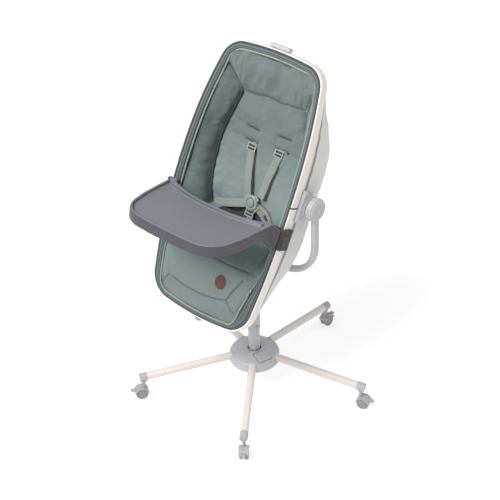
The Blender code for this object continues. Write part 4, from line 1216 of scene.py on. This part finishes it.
def build_buckle(hub_depth):
    """The harness hub: a round body with a raised rim and a domed button, leaning as the skin does."""
    lean = 0.24

    def disc(name, profile, steps=64):
        ring = round_angles(steps)
        loops = [seat_points(BUCKLE_W + r * np.cos(ring), BUCKLE_S + r * np.sin(ring), hub_depth - lift
                             - lean * r * np.sin(ring)) for r, lift in profile]
        return loft(name, loops, wrap=profile[0][0] > 0.001 and profile[-1][0] > 0.001, sharp=35)

    body = ((0.0001, 0.0022), (0.0228, 0.0022), (0.0248, 0.0036), (BUCKLE_R, 0.0056), (BUCKLE_R, 0.011),
            (0.0247, 0.014), (0.0226, 0.0158), (0.019, 0.0166), (0.016, 0.016), (0.0148, 0.0142),
            (0.0146, 0.0072), (0.0001, 0.0071))
    tongues = []
    for turn in np.radians((132, 48, 180, -32)):
        def outward(w, s, lift, turn=turn):
            along, aside = BUCKLE_R - 0.004 + s, w
            return seat_points(BUCKLE_W + along * np.cos(turn) - aside * np.sin(turn),
                               BUCKLE_S + along * np.sin(turn) + aside * np.cos(turn),
                               hub_depth - lift - lean * along * np.sin(turn))
        tongues.append(bevelled_block("tongue", (-0.0105, 0.0, 0.006), (0.0105, 0.0095, 0.0118), outward,
                                      0.0012, 3))
    dress(join("buckle_tongues", tongues), "buckle", "seat")
    dress(disc("buckle_hub", body), "buckle", "seat", ["buckle_body"])
    button = ((0.0001, 0.0118), (0.0134, 0.0118), (0.0139, 0.0126), (0.0139, 0.0158), (0.0129, 0.0172),
              (0.0103, 0.0184), (0.0065, 0.019), (0.0001, 0.0192))
    dress(disc("buckle_press", button), "buckle", "buckle_button", ["buckle_button"])


def build_patch(liner):
    graph = bpy.context.evaluated_depsgraph_get()
    tree = BVHTree.FromObject(liner, graph)
    mid_w, mid_s, half_w, half_s = 0.061, 0.034, 0.0205, 0.0215
    level = on_skin(tree, mid_w, mid_s)
    ring = round_angles(64)

    def disc(name, profile, look, nodes=()):
        loops = [seat_points(mid_w + r * np.cos(ring) * half_w, mid_s + r * np.sin(ring) * half_s,
                             level - lift) for r, lift in profile]
        return dress(loft(name, loops, sharp=40), look, "seat", nodes)

    disc("patch_edge", ((0.001, -0.002), (1.0, -0.002), (1.03, 0.0004), (1.02, 0.0012), (0.98, 0.0015),
                        (0.001, 0.0015)), "leather_edge")
    disc("patch_face", ((0.001, 0.0), (0.9, 0.0), (0.915, 0.0016), (0.9, 0.0021), (0.86, 0.0023),
                        (0.5, 0.0025), (0.001, 0.0026)), "leather", ["leather_patch"])


# ---------------------------------------------------------------- tray

def bezier(corners, steps):
    p = np.array(corners, float)
    t = np.linspace(0, 1, steps)[:, None]
    return (1 - t) ** 3 * p[0] + 3 * t * (1 - t) ** 2 * p[1] + 3 * t * t * (1 - t) * p[2] + t ** 3 * p[3]


def tray_outline(inset, arm_end):
    width = TRAY_W - inset
    inner_arm = 0.17 + 0.5 * inset
    half = list(bezier(((0, inset - 0.034), (0.085, inset - 0.034), (0.14, inset - 0.05),
                        (inner_arm, arm_end + 0.012)), 22))
    half += [(inner_arm + 0.001, arm_end + 0.004), (inner_arm + 0.005, arm_end), (width + 0.002, arm_end),
             (width + 0.005, arm_end + 0.003), (width + 0.001, -0.05), (width, -0.01),
             (width - 0.0035, 0.05)]
    half += list(bezier(((width - 0.0105, 0.09), (width - 0.017, 0.125),
                         (0.155 - 0.6 * inset, 0.155 - inset), (0.105, 0.161 - inset)), 20))
    half += [(0.08, 0.1627 - inset), (0.055, 0.164 - inset), (0.028, 0.1648 - inset), (0, 0.165 - inset)]
    half = np.array(half, float)
    return np.vstack((half, half[-2:0:-1] * np.array((-1, 1))))


def build_tray():
    rings = ((0.006, TRAY_ARM_END + 0.008, -0.013), (0.003, TRAY_ARM_END + 0.006, -0.03),
             (0.0008, TRAY_ARM_END + 0.0055, -TRAY_WALL + 0.0012),
             (-0.0008, TRAY_ARM_END + 0.004, -TRAY_WALL),
             (-0.0028, TRAY_ARM_END + 0.0028, -TRAY_WALL + 0.001),
             (-0.003, TRAY_ARM_END + 0.0024, -0.033),
             (-0.0012, TRAY_ARM_END + 0.0008, -0.012), (0.0, TRAY_ARM_END, -0.003),
             (0.0012, TRAY_ARM_END + 0.001, -0.001), (0.0032, TRAY_ARM_END + 0.003, 0.0),
             (0.0062, TRAY_ARM_END + 0.006, 0.0), (0.0084, -0.062, -0.0012), (0.0098, -0.06, -0.0036),
             (0.0112, -0.058, -0.0072), (0.014, -0.056, -0.0088), (0.017, -0.054, -0.009))
    loops = []
    for inset, end, v in rings:
        outline = tray_outline(inset, end)
        loops.append(tray_points(outline[:, 0], outline[:, 1], v))
    shapes = [loft("tray_deck", loops)]
    under = bezier(((-0.0645, -0.0745), (-0.036, -0.047), (-0.026, -0.022), (0.03, -0.035)), 20)
    outline = np.vstack(([(-0.086, -0.022), (TRAY_ARM_END + 0.001, -0.004), (-0.055, -0.004),
                          (0.03, -0.004)], under[::-1]))
    edge = []
    for start, end in zip(outline, np.roll(outline, -1, 0)):
        edge += [start + (end - start) * t for t in np.linspace(0, 1, 4)[:-1]]
    edge = np.array(edge)
    flare = ARM_FLARE * smooth_step((-0.02 - edge[:, 0]) / 0.055) * np.minimum(1.0, -edge[:, 1] / 0.02)
    for side in (1, -1):
        inner = tray_points(side * (TRAY_W - 0.0065), edge[:, 0], edge[:, 1])
        outer = tray_points(side * (TRAY_W - 0.0006 + flare), edge[:, 0], edge[:, 1])
        shapes.append(loft(f"tray_plate_{side}", [inner, (inner + outer) / 2, outer]))
    tray = moulded_together(join("tray_top", shapes), 0.0019, 7, sharp=0)
    # painted light: how much each point faces up, for the tray's lighter top
    up = np.array((0, math.sin(TRAY_RISE), math.cos(TRAY_RISE)))
    normals = np.array([v.normal[:] for v in tray.data.vertices])
    paint(tray, "top", smooth_step((normals @ up - 0.35) / 0.5))
    dress(tray, "tray", "tray", ["tray"])


# ---------------------------------------------------------------- stage

def build_stage():
    """Pale floor, soft studio light and the camera."""
    scene = bpy.context.scene
    scene.view_settings.view_transform = "Standard"
    world = bpy.data.worlds.new("studio")
    scene.world = world
    world.use_nodes = True
    backdrop = world.node_tree.nodes["Background"]
    backdrop.inputs["Color"].default_value = (1.0, 1.0, 1.0, 1.0)
    backdrop.inputs["Strength"].default_value = 0.52
    floor = mesh_object("studio_floor", [(-9, -9, 0), (9, -9, 0), (9, 9, 0), (-9, 9, 0)], [(0, 1, 2, 3)], 0)
    material, _, shader = new_material("studio_white", roughness=0.9)
    shader.inputs["Base Color"].default_value = (0.42, 0.42, 0.42, 1.0)
    shader.inputs["Emission Color"].default_value = (1.0, 1.0, 1.0, 1.0)
    shader.inputs["Emission Strength"].default_value = 0.66
    floor.data.materials.append(material)
    for name, spot, size, power in (("key", (-0.7, -6.9, 9.2), 5.6, 1080.0),
                                    ("back", (3.5, 7.0, 7.5), 5.0, 190.0)):
        lamp = bpy.data.lights.new(name, "AREA")
        lamp.shape = "DISK"
        lamp.size = size
        lamp.energy = power
        holder = bpy.data.objects.new(name, lamp)
        holder.location = spot
        aim = Vector((0, POLE_Y, 0.7)) - Vector(spot)
        holder.rotation_euler = aim.to_track_quat("-Z", "Y").to_euler()
        scene.collection.objects.link(holder)
    camera = bpy.data.cameras.new("camera")
    camera.sensor_width = 36.0
    camera.lens = 100.156
    holder = bpy.data.objects.new("camera", camera)
    right = Vector((0.75117, 0.65976, -0.02126))
    up = Vector((-0.36578, 0.44283, 0.8186))
    back = Vector((0.54949, -0.60714, 0.57397))
    matrix = Matrix((right, up, back)).transposed().to_4x4()
    matrix.translation = Vector((2.31782, -2.56977 + POLE_Y, 2.93421))
    holder.matrix_world = matrix
    scene.collection.objects.link(holder)
    scene.camera = holder


def dress_cad_nodes():
    """Gives every CAD node that still shows the look of its material slot."""
    slots = {row["node"]: row["material_slot"] for row in frame["record"]["subparts"]}
    for name, obj in frame["nodes"].items():
        obj.data.materials.clear()
        of_caster = name.startswith(("caster_fork", "brake_lever", "leg_cap"))
        obj.data.materials.append(LOOKS["caster" if of_caster else SLOT_LOOK[slots[name]]])


dress_cad_nodes()
build_stage()
build_rim()
build_yoke()
build_column()
build_base()
build_tub()
LINER = build_liner()
build_band()
build_threads(LINER)
build_harness(LINER)
build_patch(LINER)
build_tray()
